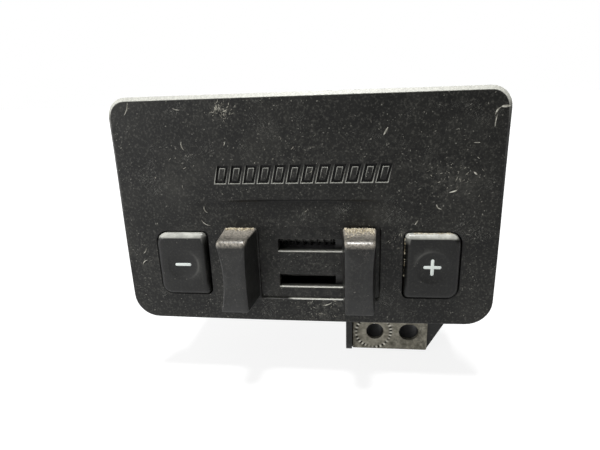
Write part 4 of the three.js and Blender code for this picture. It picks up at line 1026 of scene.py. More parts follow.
    def slot_guide(self) -> Shell:
        """The recessed panel with its two slots and the flange behind it."""
        lay = self.layout
        low, high = node_box("slot_guide")
        outline = lay.pocket_outline().grown(-0.05)
        slots = [lay.slot_outline(0), lay.slot_outline(1)]

        def front(x: Array, z: Array) -> Array:
            """Flat floor with softened slot edges."""
            y = np.full_like(x, low[1])
            for slot in slots:
                y = y + quarter_round(-slot.depth(x, z), 0.25)
            return y

        def inside(x: Array, z: Array) -> Array:
            """In the panel and not in a slot."""
            return (outline.depth(x, z) > 0) & (slots[0].depth(x, z) < 0) & (slots[1].depth(x, z) < 0)

        def quiet(x: Array, z: Array) -> Array:
            """Clear of the slots' edges."""
            near = np.minimum(-slots[0].depth(x, z), -slots[1].depth(x, z))
            return (outline.depth(x, z) > 0.5) & (near > 0.5)

        guides = [s.grown(o).loop(3, 2.0) for s in slots for o in (0.08, 0.2, 0.3)]
        points, triangles = triangulate(outline, [s.loop(3, 2.0) for s in slots], guides, inside, 2.0, quiet)
        return thick_sheet(points, triangles, front, level(high[1]))

    def build(self) -> None:
        """Makes the bezel and the slot guide."""
        shell = self.plate()
        self.add_bosses(shell)
        shell.points = [self.bow(points) for points in shell.points]
        bezel = install(shell, "bezel_moulding", self.finishes.bezel, "bezel")
        for name, value in (("wear_and_highlight", self.wear_and_highlight), ("dust", self.dust), ("recess", self.recess)):
            mark(bezel, name, value)
        guide = install(self.slot_guide(), "slot_guide_panel", self.finishes.bezel, "slot_guide")
        mark(guide, "wear_and_highlight", self.guide_wear)
        mark(guide, "dust", lambda p: 0.25 + 0 * p[:, 0])

    def guide_wear(self, p: Array) -> Array:
        """Pale along the lower edge of each slot: rubbing where the lever's stems run, with a painted
        highlight on the edge that faces up.
        """
        worn = np.zeros(len(p))
        for index, (z, height) in enumerate(self.layout.slots):
            near = -self.layout.slot_outline(index).depth(p[:, 0], p[:, 2])
            low = (near < 0.21) * (p[:, 2] < z - height / 2 + 0.1) * (p[:, 1] < -1.6)
            worn = np.maximum(worn, 1.0 * low)
        return worn


@dataclass
class SqueezeLevers:
    """The fixed lever and the sliding lever: waisted finger pads that taper towards the tip."""

    layout: ControlLayout
    finishes: Finishes
    width: float = 11.0
    height: float = 25.2
    tip_width: float = 9.2
    tip_height: float = 24.4
    reach: float = 12.0
    waists: tuple[tuple[float, float], ...] = ((1.5, 0.35), (0.05, 0.7))  # left and right flank of each
    lean: tuple[float, float] = (-0.6, 0.05)
    base_rise: float = 0.3
    tip_drop: float = 0.25
    corner: float = 0.9
    waist_drop: float = 0.6
    top_round: float = 2.2
    side_round: float = 0.5
    stem_width: float = 8.2
    stem_clearance: float = 0.4

    def taper(self, share: float | Array) -> tuple[Any, Any]:
        """Height of the section and rise of its middle, from 0 at the base to 1 at the tip."""
        height = self.height + (self.tip_height - self.height) * share
        return height, self.base_rise - (self.base_rise + self.tip_drop) * share

    def ring(self, x: float, which: int, share: float, near_tip: float) -> Array:
        """One closed section of a lever.

        The flanks are drawn in by waist times (1 - v^2), where v runs from -1 at the bottom to 1
        at the top, and each corner is a quarter circle.

        Args:
            x: lever's middle.
            which: 0 for the fixed lever, 1 for the sliding one.
            share: 0 at the base, 1 at the tip.
            near_tip: distance back from the tip, which sets how far the edges are rounded off.

        Returns:
            Rows of x, z, anticlockwise.
        """
        width = self.width + (self.tip_width - self.width) * share
        height, rise = self.taper(share)
        top = float(quarter_round(np.array(near_tip), self.top_round))
        side = float(quarter_round(np.array(near_tip), self.side_round))
        half, low, high = width / 2 - side, -height / 2 + side, height / 2 - top
        corner = max(self.corner - side, 0.3)
        middle = -self.waist_drop * share
        v = np.linspace(-1, 1, 25)
        flank_z = low + corner + (high - low - 2 * corner) * (v + 1) / 2
        reach = np.where(flank_z > middle, high - middle, middle - low)
        bend = (1 - unit(np.abs(flank_z - middle) / reach) ** 2) * share**0.7
        left_waist, right_waist = self.waists[which]
        right = np.stack([half - right_waist * bend, flank_z], 1)
        left = np.stack([-half + left_waist * bend, flank_z], 1)[::-1]
        turn = np.linspace(0, math.pi / 2, 6)[1:]
        arc = corner * np.stack([np.cos(turn), np.sin(turn)], 1)
        top_right = np.array([half - corner, high - corner]) + arc
        top_left = (np.array([-half + corner, high - corner]) + arc * [-1, 1])[::-1]
        low_left = np.array([-half + corner, low + corner]) - arc
        low_right = (np.array([half - corner, low + corner]) + arc * [1, -1])[::-1]
        across = np.linspace(-1, 1, 9)[1:-1]
        top_edge = np.stack([-(half - corner) * across, np.full(7, high)], 1)
        low_edge = np.stack([(half - corner) * across, np.full(7, low)], 1)
        outline = np.vstack([right, top_right, top_edge, top_left, left, low_left, low_edge, low_right])
        return outline + np.array([x + self.lean[which] * share, self.layout.row_z + rise])

    def body(self, x: float, which: int, base_y: float) -> Shell:
        """Lever from its base to its rounded tip."""
        tip_y = self.layout.front_y - self.reach
        length = base_y - tip_y
        back = [0.0, 0.15, 0.3, 0.45, 0.6, 0.72]
        rounded = self.top_round * np.cos(np.linspace(0, math.pi / 2, 12))
        stations = [length * share for share in back] + [length - d for d in rounded[1:]]
        stations.insert(len(back), length - self.top_round)
        sections = ((self.ring(x, which, s / length, length - s), base_y - s) for s in stations)
        rings = np.stack([at_height(*section) for section in sections])
        front = rings[-1]
        shell = Shell().rings(rings).cap(rings[0])
        inner = front.mean(0) + (front - front.mean(0)) * 0.5
        inner[:, 1] += 0.12
        return shell.rings(np.stack([front, inner])).cap(inner)

    def stem(self, x: float, index: int) -> Shell:
        """Flat stem that passes through a slot into the carriage."""
        z, height = self.layout.slots[index]
        tall = height / 2 - self.stem_clearance
        half = self.stem_width / 2
        outline = Outline.even(x - half, x + half, z - tall, z + tall, 0.4)
        back = node_box("sliding_lever")[1][1]
        return prism(lambda inset: outline.grown(-inset).loop(3), [(0, self.layout.front_y - 1), (0, back)])

    def wear_and_highlight(self, x: float) -> Callable[[Array], Array]:
        """Pale on the top face, real rubbing with a painted highlight from above, and a painted highlight on
        the rounding in front of it, along the front edge.
        """

        def value(p: Array) -> Array:
            tip = self.layout.front_y - self.reach
            share = unit((self.layout.front_y - p[:, 1]) / self.reach)
            height, rise = self.taper(share)
            top = self.layout.row_z + rise + height / 2
            face = smoothstep((p[:, 2] - top + 0.7) / 0.5) * (p[:, 1] > tip + 1.6)
            back = smoothstep((p[:, 1] - tip - 3.0) / 4.0)
            below = (top - p[:, 2]) / self.top_round
            rounding = bell((below - 0.32) / 0.3) * (p[:, 1] < tip + self.top_round + 0.1)
            return np.maximum(face * (0.34 + 0.4 * back), 0.9 * rounding)

        return value

    def build(self) -> None:
        """Makes both levers."""
        lay = self.layout
        for which, name, x, body in (
            (0, "fixed_lever", lay.fixed_lever_x, "unit"),
            (1, "sliding_lever", lay.sliding_lever_x, "lever_slider"),
        ):
            base = lay.front_y - (self.stem_clearance if which else 0.02)
            shell = self.body(x, which, base)
            if which:
                for index in range(2):
                    shell.join(self.stem(x, index))
            piece = install(shell, name + "_moulding", self.finishes.lever, name, body=body)
            mark(piece, "wear_and_highlight", self.wear_and_highlight(x))
            mark(piece, "dust", lambda p: 0.9 * smoothstep((p[:, 2] + 6.4) / 1.0) * (p[:, 1] > -13.0))


@dataclass
class PressKeys:
    """Both keys: a dished cap in its window, a lip behind the panel, a stem, and a pale symbol."""

    layout: ControlLayout
    finishes: Finishes
    proud: float = 1.8
    clearance: float = 0.35
    edge_round: float = 1.7
    dish_radius: float = 5.5
    dish_depth: float = 0.45
    symbol_half: float = 2.85
    symbol_stroke: float = 1.05
    cap_back_y: float = 0.2

    def outline(self, side: int) -> Outline:
        """Outline of the cap of the key on that side, -1 left or 1 right."""
        return self.layout.key_window(side).grown(-self.clearance)

    def dish(self, x: Array, z: Array, middle: float) -> Array:
        """Depth of the round dish: d (1 - (r/R)^2), with its rim softened."""
        share = np.hypot(x - middle, z - self.layout.row_z) / self.dish_radius
        return self.dish_depth * unit(1.06 - share**2) ** 0.9

    def cap(self, side: int) -> Shell:
        """Cap of one key."""
        middle = side * self.layout.key_x
        outline = self.outline(side)
        face = self.layout.front_y - self.proud

        def front(x: Array, z: Array) -> Array:
            """Face with rounded edges and the dish."""
            return face + quarter_round(outline.depth(x, z), self.edge_round) + self.dish(x, z, middle)

        angle = np.linspace(0, math.pi / 2, 8)[1:]
        guides = [outline.grown(-self.edge_round * (1 - math.cos(a))).loop(8, 2.0) for a in angle]
        centre = (middle, self.layout.row_z)
        shares = (1.08, 1.03, 0.98, 0.9, 0.75, 0.5, 0.25)
        guides += [circle(centre, self.dish_radius * share) for share in shares]
        points, triangles = triangulate(
            outline,
            [],
            guides,
            lambda x, z: outline.depth(x, z) > 0,
            1.6,
            lambda x, z: (outline.depth(x, z) > self.edge_round + 0.6)
            & (np.hypot(x - middle, z - self.layout.row_z) > self.dish_radius * 1.15),
        )
        return thick_sheet(points, triangles, front, level(self.cap_back_y))

    def symbol(self, side: int) -> Shell:
        """Bar or cross with round ends, lying in the dish."""
        middle = side * self.layout.key_x
        half, thin = self.symbol_half, self.symbol_stroke / 2
        turn = np.linspace(-math.pi / 2, math.pi / 2, 9)
        tip = np.stack([half - thin + thin * np.cos(turn), thin * np.sin(turn)], 1)
        quarters = 2 if side < 0 else 4
        loop = []
        for index in range(quarters):
            turned = spin(index * 2 * math.pi / quarters)
            loop.append(tip @ turned)
            if side > 0:
                loop.append(np.array([[thin, thin]]) @ turned)
        outline = np.vstack(loop)
        face = self.layout.front_y - self.proud

        def ring(shrink: float, y: float) -> Array:
            """The outline drawn in a little, lying on the dish at that offset."""
            flat = outline * (1 - shrink) + np.array([middle, self.layout.row_z])
            return at_height(flat, face + self.dish(flat[:, 0], flat[:, 1], middle) + y)

        rings = np.stack([ring(0.0, 0.6), ring(0.0, -0.02), ring(0.02, -0.06)])
        return Shell().rings(rings).cap(rings[-1]).cap(rings[0])

    def wear_and_highlight(self, p: Array, outline: Outline) -> Array:
        """Painted highlight along the top rounding, and a faint painted highlight along part of the dish's
        rim.
        """
        depth = outline.depth(p[:, 0], p[:, 2])
        near = smoothstep((self.edge_round - depth) / 0.35) * (p[:, 1] < -2.7)
        high = smoothstep((p[:, 2] - outline.z1 + 1.7) / 0.5)
        inner = smoothstep((outline.x1 - 1.0 - p[:, 0]) / 0.8)
        middle = (outline.x0 + outline.x1) / 2
        dx, dz = p[:, 0] - middle, p[:, 2] - self.layout.row_z
        turn = np.arctan2(dz, dx) - (math.radians(128) if middle > 0 else math.radians(-5))
        ring = (np.hypot(dx, dz) - self.dish_radius - 0.1) / 0.4
        arc = bell(ring) * bell(turn / 0.8)
        return np.maximum(near * high * (0.3 + 0.65 * inner), 0.14 * arc * (p[:, 1] < -2.9))

    def build(self) -> None:
        """Makes both keys and their symbols."""
        for side, name in ((-1, "minus"), (1, "plus")):
            body = f"{name}_button"
            shell = self.cap(side)
            low, high = node_box(f"{name}_key")
            lip = Outline.even(low[0], high[0], low[2], high[2], 3.0)
            profile = rounded_profile(-0.45, 0.7, 0.1, 0.2)
            shell.join(prism(lambda inset, lip=lip: lip.grown(-inset).loop(5), profile))
            end = high[1]
            stem = [(0, 0.5), (2.2, 0.5), (2.2, end - 0.3), (1.9, end), (0, end)]
            shell.join(lathe((side * self.layout.key_x, self.layout.row_z), stem, 32))
            key = install(shell, f"{name}_key_cap", self.finishes.key, f"{name}_key", body=body)
            mark(key, "wear_and_highlight", lambda p, outline=self.outline(side): self.wear_and_highlight(p, outline))
            inlay, node = f"{name}_symbol_inlay", f"{name}_symbol"
            install(self.symbol(side), inlay, self.finishes.symbol, node, body=body, slot="light_guide")


@dataclass
class SliderMechanism:
    """The return spring and the two polished rods that the carriage runs on."""

    layout: ControlLayout
    finishes: Finishes
    coils: int = 10
    dead_coils: float = 1.5
    wire: float = 0.3  # radius
    radius: float = 2.35

    def spring(self) -> Shell:
        """Compression spring round the upper rod.

        A point of the wire is the axis point plus R(cos a, sin a) plus r times the ring
        (cos b, sin b) in the plane of the radius and the axis; the pitch closes up at both ends.
        """
        low, high = node_box("return_spring")
        middle = (low + high) / 2
        start, end = low[0] + self.wire, high[0] - self.wire
        turns = self.coils + 2 * self.dead_coils
        t = np.linspace(0, turns, int(turns * 28))
        live = unit((t - self.dead_coils) / self.coils)
        ends = [np.clip(turn, 0, self.dead_coils) for turn in (t, t - turns + self.dead_coils)]
        dead = 2 * self.wire * (ends[0] + ends[1])
        x = start + dead + live * (end - start - 4 * self.wire * self.dead_coils)
        angle = 2 * np.pi * t
        around = np.arange(10) / 10 * 2 * np.pi
        out = self.radius + self.wire * np.cos(around)[None, :]
        rings = np.stack(
            [
                x[:, None] + self.wire * np.sin(around)[None, :],
                middle[1] + out * np.cos(angle)[:, None],
                middle[2] + out * np.sin(angle)[:, None],
            ],
            -1,
        )
        return tube(rings)

    def build(self) -> None:
        """Makes the spring and the rods."""
        spring = install(
            self.spring(), "return_spring_coil", self.finishes.spring, "return_spring", slot="bright_steel"
        )
        low, high = node_box("return_spring")
        joint = next(j for j in frame["joints"] if j["name"] == "lever_squeeze")
        travel = max(joint["range_m"]) / MM
        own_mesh(spring)
        for name in ("guide_rod_upper", "guide_rod_lower"):
            low, high = node_box(name)
            middle = (low + high) / 2
            radius = (high[2] - low[2]) / 2
            half = [(0, 0.0), (radius - 0.3, 0.0), (radius, 0.3)]
            profile = [(r, low[0] + x) for r, x in half] + [(r, high[0] - x) for r, x in half[::-1]]
            rod = lathe((middle[1], middle[2]), profile, 40, along_x=True)
            install(rod, name + "_ground", self.finishes.rod, name, slot="bright_steel")


@dataclass
class MountingFoot:
    """The scuffed plate on the foot, with a round and a stretched bolt hole and bolt-tooth marks."""

    finishes: Finishes
    hole_radius: float = 3.3
    round_hole: tuple[float, float] = (25.2, -52.85)
    slot_hole: tuple[float, float] = (38.3, -52.85)
    stretch: float = 0.8
    mark_centre: tuple[float, float] = (24.6, -53.0)
    mark_radius: float = 6.8
    tooth_count: int = 28
    tooth_depth: float = 0.22
    ridge_height: float = 0.1
    polish_depth: float = 0.1
    skin_y: float = 15.6  # marks lie in front of this depth

    def ring_place(self, p: Array) -> tuple[Array, Array]:
        """Distance from the middle of the ring of marks, and the angle round it."""
        dx, dz = p[:, 0] - self.mark_centre[0], p[:, 2] - self.mark_centre[1]
        return np.hypot(dx, dz), np.arctan2(dz, dx)

    def teeth(self, p: Array, shift: float) -> Array:
        """Tooth marks, 0 to 1: a narrow ring times a sharpened cosine round it, uneven in strength."""
        radius, angle = self.ring_place(p)
        ring = bell((radius - self.mark_radius - 0.12 * np.sin(4 * angle)) / 0.42)
        tooth = unit(np.cos(self.tooth_count * angle + shift + 0.9 * np.sin(3 * angle))) ** 1.1
        uneven = 0.6 + 0.35 * np.cos(angle) ** 2 + 0.45 * np.sin(5 * angle + 0.9)
        return unit(1.8 * ring * tooth * uneven)

    def washer(self, p: Array) -> Array:
        """Where the bolt's flange has polished the plate."""
        return smoothstep((self.mark_radius - 0.4 - self.ring_place(p)[0]) / 0.8)

    def plate(self) -> Shell:
        """Plate with softened edges and the tooth marks pressed into it."""
        low, high = node_box("foot_plate")
        edge = Outline.even(low[0] - 0.1, high[0], low[2] + 0.3, high[2], 0.6)

        def past_hole(x: Array, z: Array) -> Array:
            """Distance outside the nearer bolt hole, negative inside it."""
            near = np.hypot(x - self.round_hole[0], z - self.round_hole[1])
            shift = np.clip(np.abs(x - self.slot_hole[0]) - self.stretch / 2, 0, None)
            return np.minimum(near, np.hypot(shift, z - self.slot_hole[1])) - self.hole_radius

        def front(x: Array, z: Array) -> Array:
            """Face with rounded edges, hole edges and tooth marks."""
            p = np.stack([x, np.zeros_like(x), z], 1)
            y = low[1] + quarter_round(edge.depth(x, z), 0.35) + quarter_round(past_hole(x, z), 0.3)
            y = y + self.tooth_depth * self.teeth(p, math.pi) - self.ridge_height * self.teeth(p, 0)
            return y + self.polish_depth * self.washer(p)

        fine = self.tooth_count * 6
        rings = [circle(self.mark_centre, r, fine) for r in (5.9, 6.25, 6.5, 6.7, 6.9, 7.15, 7.5)]
        round_holes, slot_holes = (
            [circle(centre, self.hole_radius + out, sides, stretch) for out in (0.0, 0.1, 0.3)]
            for centre, sides, stretch in ((self.round_hole, 72, 0.0), (self.slot_hole, 48, self.stretch))
        )
        points, triangles = triangulate(
            edge,
            [round_holes[0], slot_holes[0]],
            rings + round_holes[1:] + slot_holes[1:] + [edge.grown(-0.12).loop(), edge.grown(-0.35).loop()],
            lambda x, z: (edge.depth(x, z) > 0) & (past_hole(x, z) >= -0.01),
            1.2,
            lambda x, z: (edge.depth(x, z) > 0.6)
            & (past_hole(x, z) >= 0.7)
            & (np.abs(np.hypot(x - self.mark_centre[0], z - self.mark_centre[1]) - 6.7) > 1.2),
        )
        return thick_sheet(points, triangles, front, level(high[1]))

    def build(self) -> None:
        """Makes the plate; the rest of the foot keeps its frame shape."""
        finish = self.finishes.foot_plate
        plate = install(self.plate(), "foot_plate_scuffed", finish, "foot_plate", slot="worn_plated_steel")
        foot = node_box("foot_plate")[0][2] + 0.3

        def tooth(p: Array) -> Array:
            """Tooth marks on the front of the plate only."""
            return self.teeth(p, 0) * (p[:, 1] < self.skin_y)

        def gouge_and_shade(p: Array) -> Array:
            """Dark in the gouges between the teeth, and a painted shade along the plate's lower edge at the
            foot.
            """
            return np.maximum(self.teeth(p, math.pi) * (p[:, 1] < self.skin_y), p[:, 2] < foot + 0.2)

        mark(plate, "tooth", tooth)
        mark(plate, "gouge_and_shade", gouge_and_shade)
        mark(plate, "polish", self.washer)


@dataclass
class ServiceGrime:
    """Fibres, scratches and crumbs that years in a cab leave on the face, the levers and a key."""

    layout: ControlLayout
    levers: SqueezeLevers
    keys: PressKeys
    finishes: Finishes
    seed: int = 11
    plate_half: float = 61.8  # strands stay within this of the middle
    plate_foot: float = -38.0
    window_margin: float = 0.5

    def __post_init__(self) -> None:
        """Starts the random draws."""
        self.draw = np.random.default_rng(self.seed)

    def strand(self, x: float, z: float, heading: float, length: float, bend: float, width: float) -> Shell:
        """Thin bent strand lying on the face.

        Its path turns steadily by the bend along its length, and its radius is half the width
        times the root of sin(pi t), so both ends taper off.
        """
        t = np.linspace(0, 1, 10)
        angle = np.radians(heading + bend * (t - 0.5))
        step = length / 9
        path_x = x + np.concatenate([[0], np.cumsum(np.cos(angle[:-1]) * step)])
        path_z = z + np.concatenate([[0], np.cumsum(np.sin(angle[:-1]) * step)])
        radius = width / 2 * np.sqrt(np.clip(np.sin(np.pi * t), 0.02, 1))
        turn = np.arange(5) / 5 * 2 * np.pi
        side = radius[:, None] * np.cos(turn)
        rings = np.stack(
            [
                path_x[:, None] - np.sin(angle)[:, None] * side,
                self.layout.front_y - 0.02 + 0.45 * radius[:, None] * np.sin(turn),
                path_z[:, None] + np.cos(angle)[:, None] * side,
            ],
            -1,
        )
        return tube(rings)

    def crumbs(self, places: Array, size: tuple[float, float], flat: float = 0.6) -> Shell:
        """Little irregular grains, each a dented six-sided barrel with pointed ends.

        A grain's points are its middle plus a radius times a ring direction, and the radius is
        drawn anew for every point.
        """
        angle = np.arange(6) / 6 * 2 * np.pi
        rows = np.array([(0.75, -0.6), (0.75, 0.6)])
        ball = np.concatenate(
            [np.stack([r * np.cos(angle), np.full(6, h), r * np.sin(angle)], 1) for r, h in rows]
            + [np.array([(0, -1.0, 0), (0, 1.0, 0)])]
        )
        count = len(places)
        radius = self.draw.uniform(*size, (count, 1, 1))
        rough = self.draw.uniform(0.6, 1.25, (count, 14, 1))
        points = places[:, None, :] + ball[None] * rough * radius * np.array([1, flat, 1])
        k = np.arange(6)
        after = (k + 1) % 6
        band = np.stack([k, after, after + 6, k + 6], 1)
        low = np.stack([k, after, np.full(6, 12)], 1)
        high = np.stack([k + 6, after + 6, np.full(6, 13)], 1)
        offset = (np.arange(count) * 14)[:, None, None]
        faces = [(rows[None] + offset).reshape(-1, rows.shape[1]) for rows in (band, low, high)]
        shell = Shell()
        shell.add(points.reshape(-1, 3), *faces)
        return shell

    def lay_strands(self, strands: Sequence[tuple[float, ...]]) -> Shell:
        """All the strands that lie on the plate and clear of its windows, as one shell."""
        shell = Shell()
        windows = self.layout.windows()
        for strand in strands:
            piece = self.strand(*strand)
            points = np.concatenate(piece.points)
            x, z = points[:, 0], points[:, 2]
            clear = all((window.depth(x, z) < -self.window_margin).all() for window in windows)
            if clear and (np.abs(x) < self.plate_half).all() and z.min() > self.plate_foot:
                shell.add(points, *piece.faces)
        return shell

    def scratches(self) -> Shell:
        """The scratches and hairs that catch the eye: x, z, heading, length, bend and width."""
        strands = [
            (-38.4, 24.6, -75, 3.0, 75, 0.3),
            (-40.2, 35.0, -12, 2.6, 50, 0.3),
            (-54.8, 37.2, -115, 4.4, -40, 0.35),
            (-33.0, 3.0, -60, 2.6, 90, 0.34),
            (-34.4, -1.6, -30, 4.0, 70, 0.24),
            (62.0, 33.1, 182, 3.4, 20, 1.0),
            (61.6, 32.7, 184, 2.6, 10, 0.8),
            (58.9, 32.4, 240, 2.6, 50, 0.5),
            (58.1, 30.4, 265, 3.6, 10, 0.34),
            (25.6, 25.2, 62, 2.6, 8, 0.55),
            (54.0, 12.6, 140, 1.5, 0, 0.5),
            (46.0, 7.2, 20, 2.6, 30, 0.4),
            (44.0, 1.8, 130, 2.4, -80, 0.35),
            (36.0, -3.4, 60, 1.8, 20, 0.4),
            (52.2, 22.4, 0, 1.8, 15, 0.26),
            (-56.8, -14.0, 60, 2.6, 60, 0.26),
            (-57.6, -18.4, 40, 3.0, -70, 0.26),
            (-24.6, 22.8, 70, 1.6, 20, 0.26),
            (6.0, -32.6, 20, 3.4, 40, 0.3),
        ]
        return self.lay_strands(strands)

    def face_strands(self) -> Shell:
        """Many short fibres in the dusty patches: x, z, spread and count of each patch."""
        strands = []
        patches = [(46, 11, 9, 40), (-25, 33.5, 3.6, 70), (5, -34, 7, 30)]
        patches += [(32, -8, 4, 30), (-40, 17, 9, 12), (0, 20, 16, 14)]
        for x, z, spread, count in patches:
            for _ in range(count):
                dx, dz = self.draw.normal(0, spread * 0.55, 2)
                heading = self.draw.normal(50, 45)
                length, bend = self.draw.uniform(0.3, 1.4), self.draw.uniform(-40, 40)
                strands.append((x + dx, z + dz * 0.7, heading, length, bend, self.draw.uniform(0.08, 0.22)))
        return self.lay_strands(strands)

    def face_places(self, count: int) -> Array:
        """Even random places on the bezel's face, clear of the windows."""
        x, z = self.draw.uniform(-60, 60, count), self.draw.uniform(-36, 36, count)
        clear = (z > -3.5) | (z < -31.5)
        y = np.full(count, self.layout.front_y - 0.03)
        return np.stack([x, y, z], 1)[clear]

    def lever_crumbs(self, x: float, lean: float, spread: float) -> Shell:
        """Tan crumbs banked along the rear edge of a lever's top, thinning out over the spread."""
        lay, lever = self.layout, self.levers
        count = int(200 + 90 * spread)
        back = np.abs(self.draw.normal(0, spread, count))
        share = np.clip(back / lever.reach, 0, 0.7)
        half = lever.width / 2 - 0.6 - 0.6 * share
        places_x = x + lean * share + self.draw.uniform(-1, 1, count) * half
        top = lay.row_z + lever.base_rise * (1 - share) + lever.height / 2 - 0.4 * share
        rise = self.draw.uniform(-0.08, 0.06, count)
        places = np.stack([places_x, lay.front_y - 0.25 - back, top + rise], 1)
        return self.crumbs(places, (0.09, 0.3), 0.9)

    def key_crumbs(self) -> Shell:
        """Crumbs caught along the top of the plus key."""
        lay, keys = self.layout, self.keys
        outline = keys.outline(1)
        ahead = np.abs(self.draw.normal(0, 0.45, 130)).clip(0, 1.3)
        drop = keys.edge_round - np.sqrt(keys.edge_round**2 - ahead**2)
        above = np.stack(
            [
                self.draw.uniform(outline.x0 + 2.6, outline.x1 - 2.8, 130),
                lay.front_y - ahead,
                outline.z1 - drop + self.draw.uniform(-0.02, 0.1, 130),
            ],
            1,
        )
        beside = np.stack(
            [
                outline.x0 + self.draw.uniform(-0.12, 0.02, 60),
                lay.front_y - self.draw.uniform(0, 0.5, 60),
                outline.z1 - 1.8 - np.abs(self.draw.normal(0, 5.5, 60)).clip(0, 14),
            ],
            1,
        )
        return self.crumbs(np.vstack([above, beside]), (0.08, 0.2), 0.9)

    def build(self) -> None:
        """Makes the grime pieces and puts each on its own body."""
        lay, finish = self.layout, self.finishes
        install(self.scratches(), "face_scratches", finish.scratch)
        install(self.face_strands(), "face_fibres", finish.lint)
        install(self.crumbs(self.face_places(80), (0.05, 0.15)), "face_grit", finish.lint)
        for which, name, x, body, spread in (
            (0, "fixed_lever_crumbs", lay.fixed_lever_x, "unit", 0.9),
            (1, "sliding_lever_crumbs", lay.sliding_lever_x, "lever_slider", 2.6),
        ):
            install(self.lever_crumbs(x, self.levers.lean[which], spread), name, finish.crumb, body=body)
        install(self.key_crumbs(), "plus_key_crumbs", finish.crumb, body="plus_button")


@dataclass
class CrossRecessScrews:
    """The four pan-head screws in the bezel's ears, each driven home to its own angle."""

    finishes: Finishes
    head_radius: float = 2.6
    head_height: float = 1.8
    shank_radius: float = 1.25
    arm_half: float = 0.42
    arm_reach: float = 1.65
    recess_depth: float = 1.1
    recess_draft: float = 0.2
    turns: tuple[float, ...] = (12.0, 57.0, 33.0, 80.0)

    def arms(self, inset: float) -> Array:
        """The twelve corners of the cross, drawn in by that distance."""
        half, reach = self.arm_half - inset, self.arm_reach - inset
        quarter = np.array([(reach, -half), (reach, half), (half, half)])
        return np.concatenate([quarter @ spin(angle) for angle in np.arange(4) * np.pi / 2])

    def head(self, middle: Array, seat: float, turn: float) -> Shell:
        """Domed head with a tapering cross recess.

        The dome is 0.3 h + 0.7 h root(1 - (r/R)^2), and the recess sinks in step with the
        distance from the cross's edge until it reaches its floor.
        """
        radius, tall = self.head_radius, self.head_height
        edge = Outline.even(-radius, radius, -radius, radius, radius - 0.01)

        def top(x: Array, z: Array) -> Array:
            """Height of the head over its seat, on an unturned head at the origin."""
            share = unit(1 - (x**2 + z**2) / radius**2)
            across = np.minimum(self.arm_half - np.abs(x), self.arm_reach - np.abs(z))
            along = np.minimum(self.arm_half - np.abs(z), self.arm_reach - np.abs(x))
            sunk = unit(np.maximum(across, along) / self.recess_draft)
            return 0.3 * tall + 0.7 * tall * np.sqrt(share) - self.recess_depth * sunk

        crosses = [self.arms(0.0), self.arms(self.recess_draft)]
        points, triangles = triangulate(
            edge,
            [],
            crosses + [circle((0, 0), r, 36) for r in (2.0, 2.35, 2.5)],
            lambda x, z: edge.depth(x, z) > 0,
            0.9,
            lambda x, z: (np.hypot(x, z) > 1.8) & (np.hypot(x, z) < 1.9),
        )
        heights = top(*points.T)
        placed = points @ spin(math.radians(turn)) + middle
        return thick_sheet(placed, triangles, lambda x, z: seat + heights, level(seat))

    def build(self) -> None:
        """Makes the four screws."""
        for index, turn in enumerate(self.turns, 1):
            node = f"housing_screw_{index}"
            low, high = node_box(node)
            middle = (low + high)[[0, 2]] / 2
            seat = high[1] - self.head_height
            shell = self.head(middle, seat, turn)
            shank, inner = self.shank_radius, seat + 0.2
            tip = low[1]
            profile = [(0, tip), (0.6 * shank, tip), (shank, tip + shank), (shank, inner), (0, inner)]
            shell.join(lathe((middle[0], middle[1]), profile, 20))
            install(shell, f"{node}_cross_recess", self.finishes.steel, node, slot="bright_steel")


# ---------------------------------------------------------------- pieces kept from the frame


class Kept(Enum):
    """Frame nodes that keep their shape, under the name of the finish that they get."""

    NYLON = ("slider_chassis", "rear_housing", "mounting_foot", "connector_shell")
    ACETAL = ("minus_switch_plunger", "plus_switch_plunger")
    DARK_ACETAL = ("slider_carriage",)
    SYMBOL = ("minus_backlight", "plus_backlight")
    COMPONENT = (
        *("minus_switch_body", "plus_switch_body", "supply_capacitor_left", "supply_capacitor_right"),
        *("position_track", "microcontroller", "brake_output_driver", "filter_coil"),
    )
    STEEL = (
        *("board_screw_left", "board_screw_right", "foot_screw_left", "foot_screw_right"),
        *("retaining_clip_left", "retaining_clip_right"),
    )
    CONTACT = ("position_wiper", *(f"connector_contact_{i}" for i in range(1, 7)))
    BOARD = ("control_board",)


def soften(piece: Piece, width: float) -> None:
    """Joins the node's loose triangles and breaks its sharp edges by that many millimetres."""
    weld = piece.modifiers.new("joined", "WELD")
    weld.merge_threshold = 0.002 * MM
    bevel = piece.modifiers.new("broken_edges", "BEVEL")
    bevel.width = width * MM
    bevel.segments = 2
    bevel.limit_method = "ANGLE"
    bevel.angle_limit = math.radians(40)


def dress_kept(finishes: Finishes) -> None:
    """Gives every kept node its finish and its broken edges."""
    for kind in Kept:
        for name in kind.value:
            node = frame["nodes"][name]
            dress(node, getattr(finishes, kind.name.lower()))
            low, high = node_box(name)
            soften(node, min(0.25, 0.08 * float((high - low).min())))


# ---------------------------------------------------------------- stage


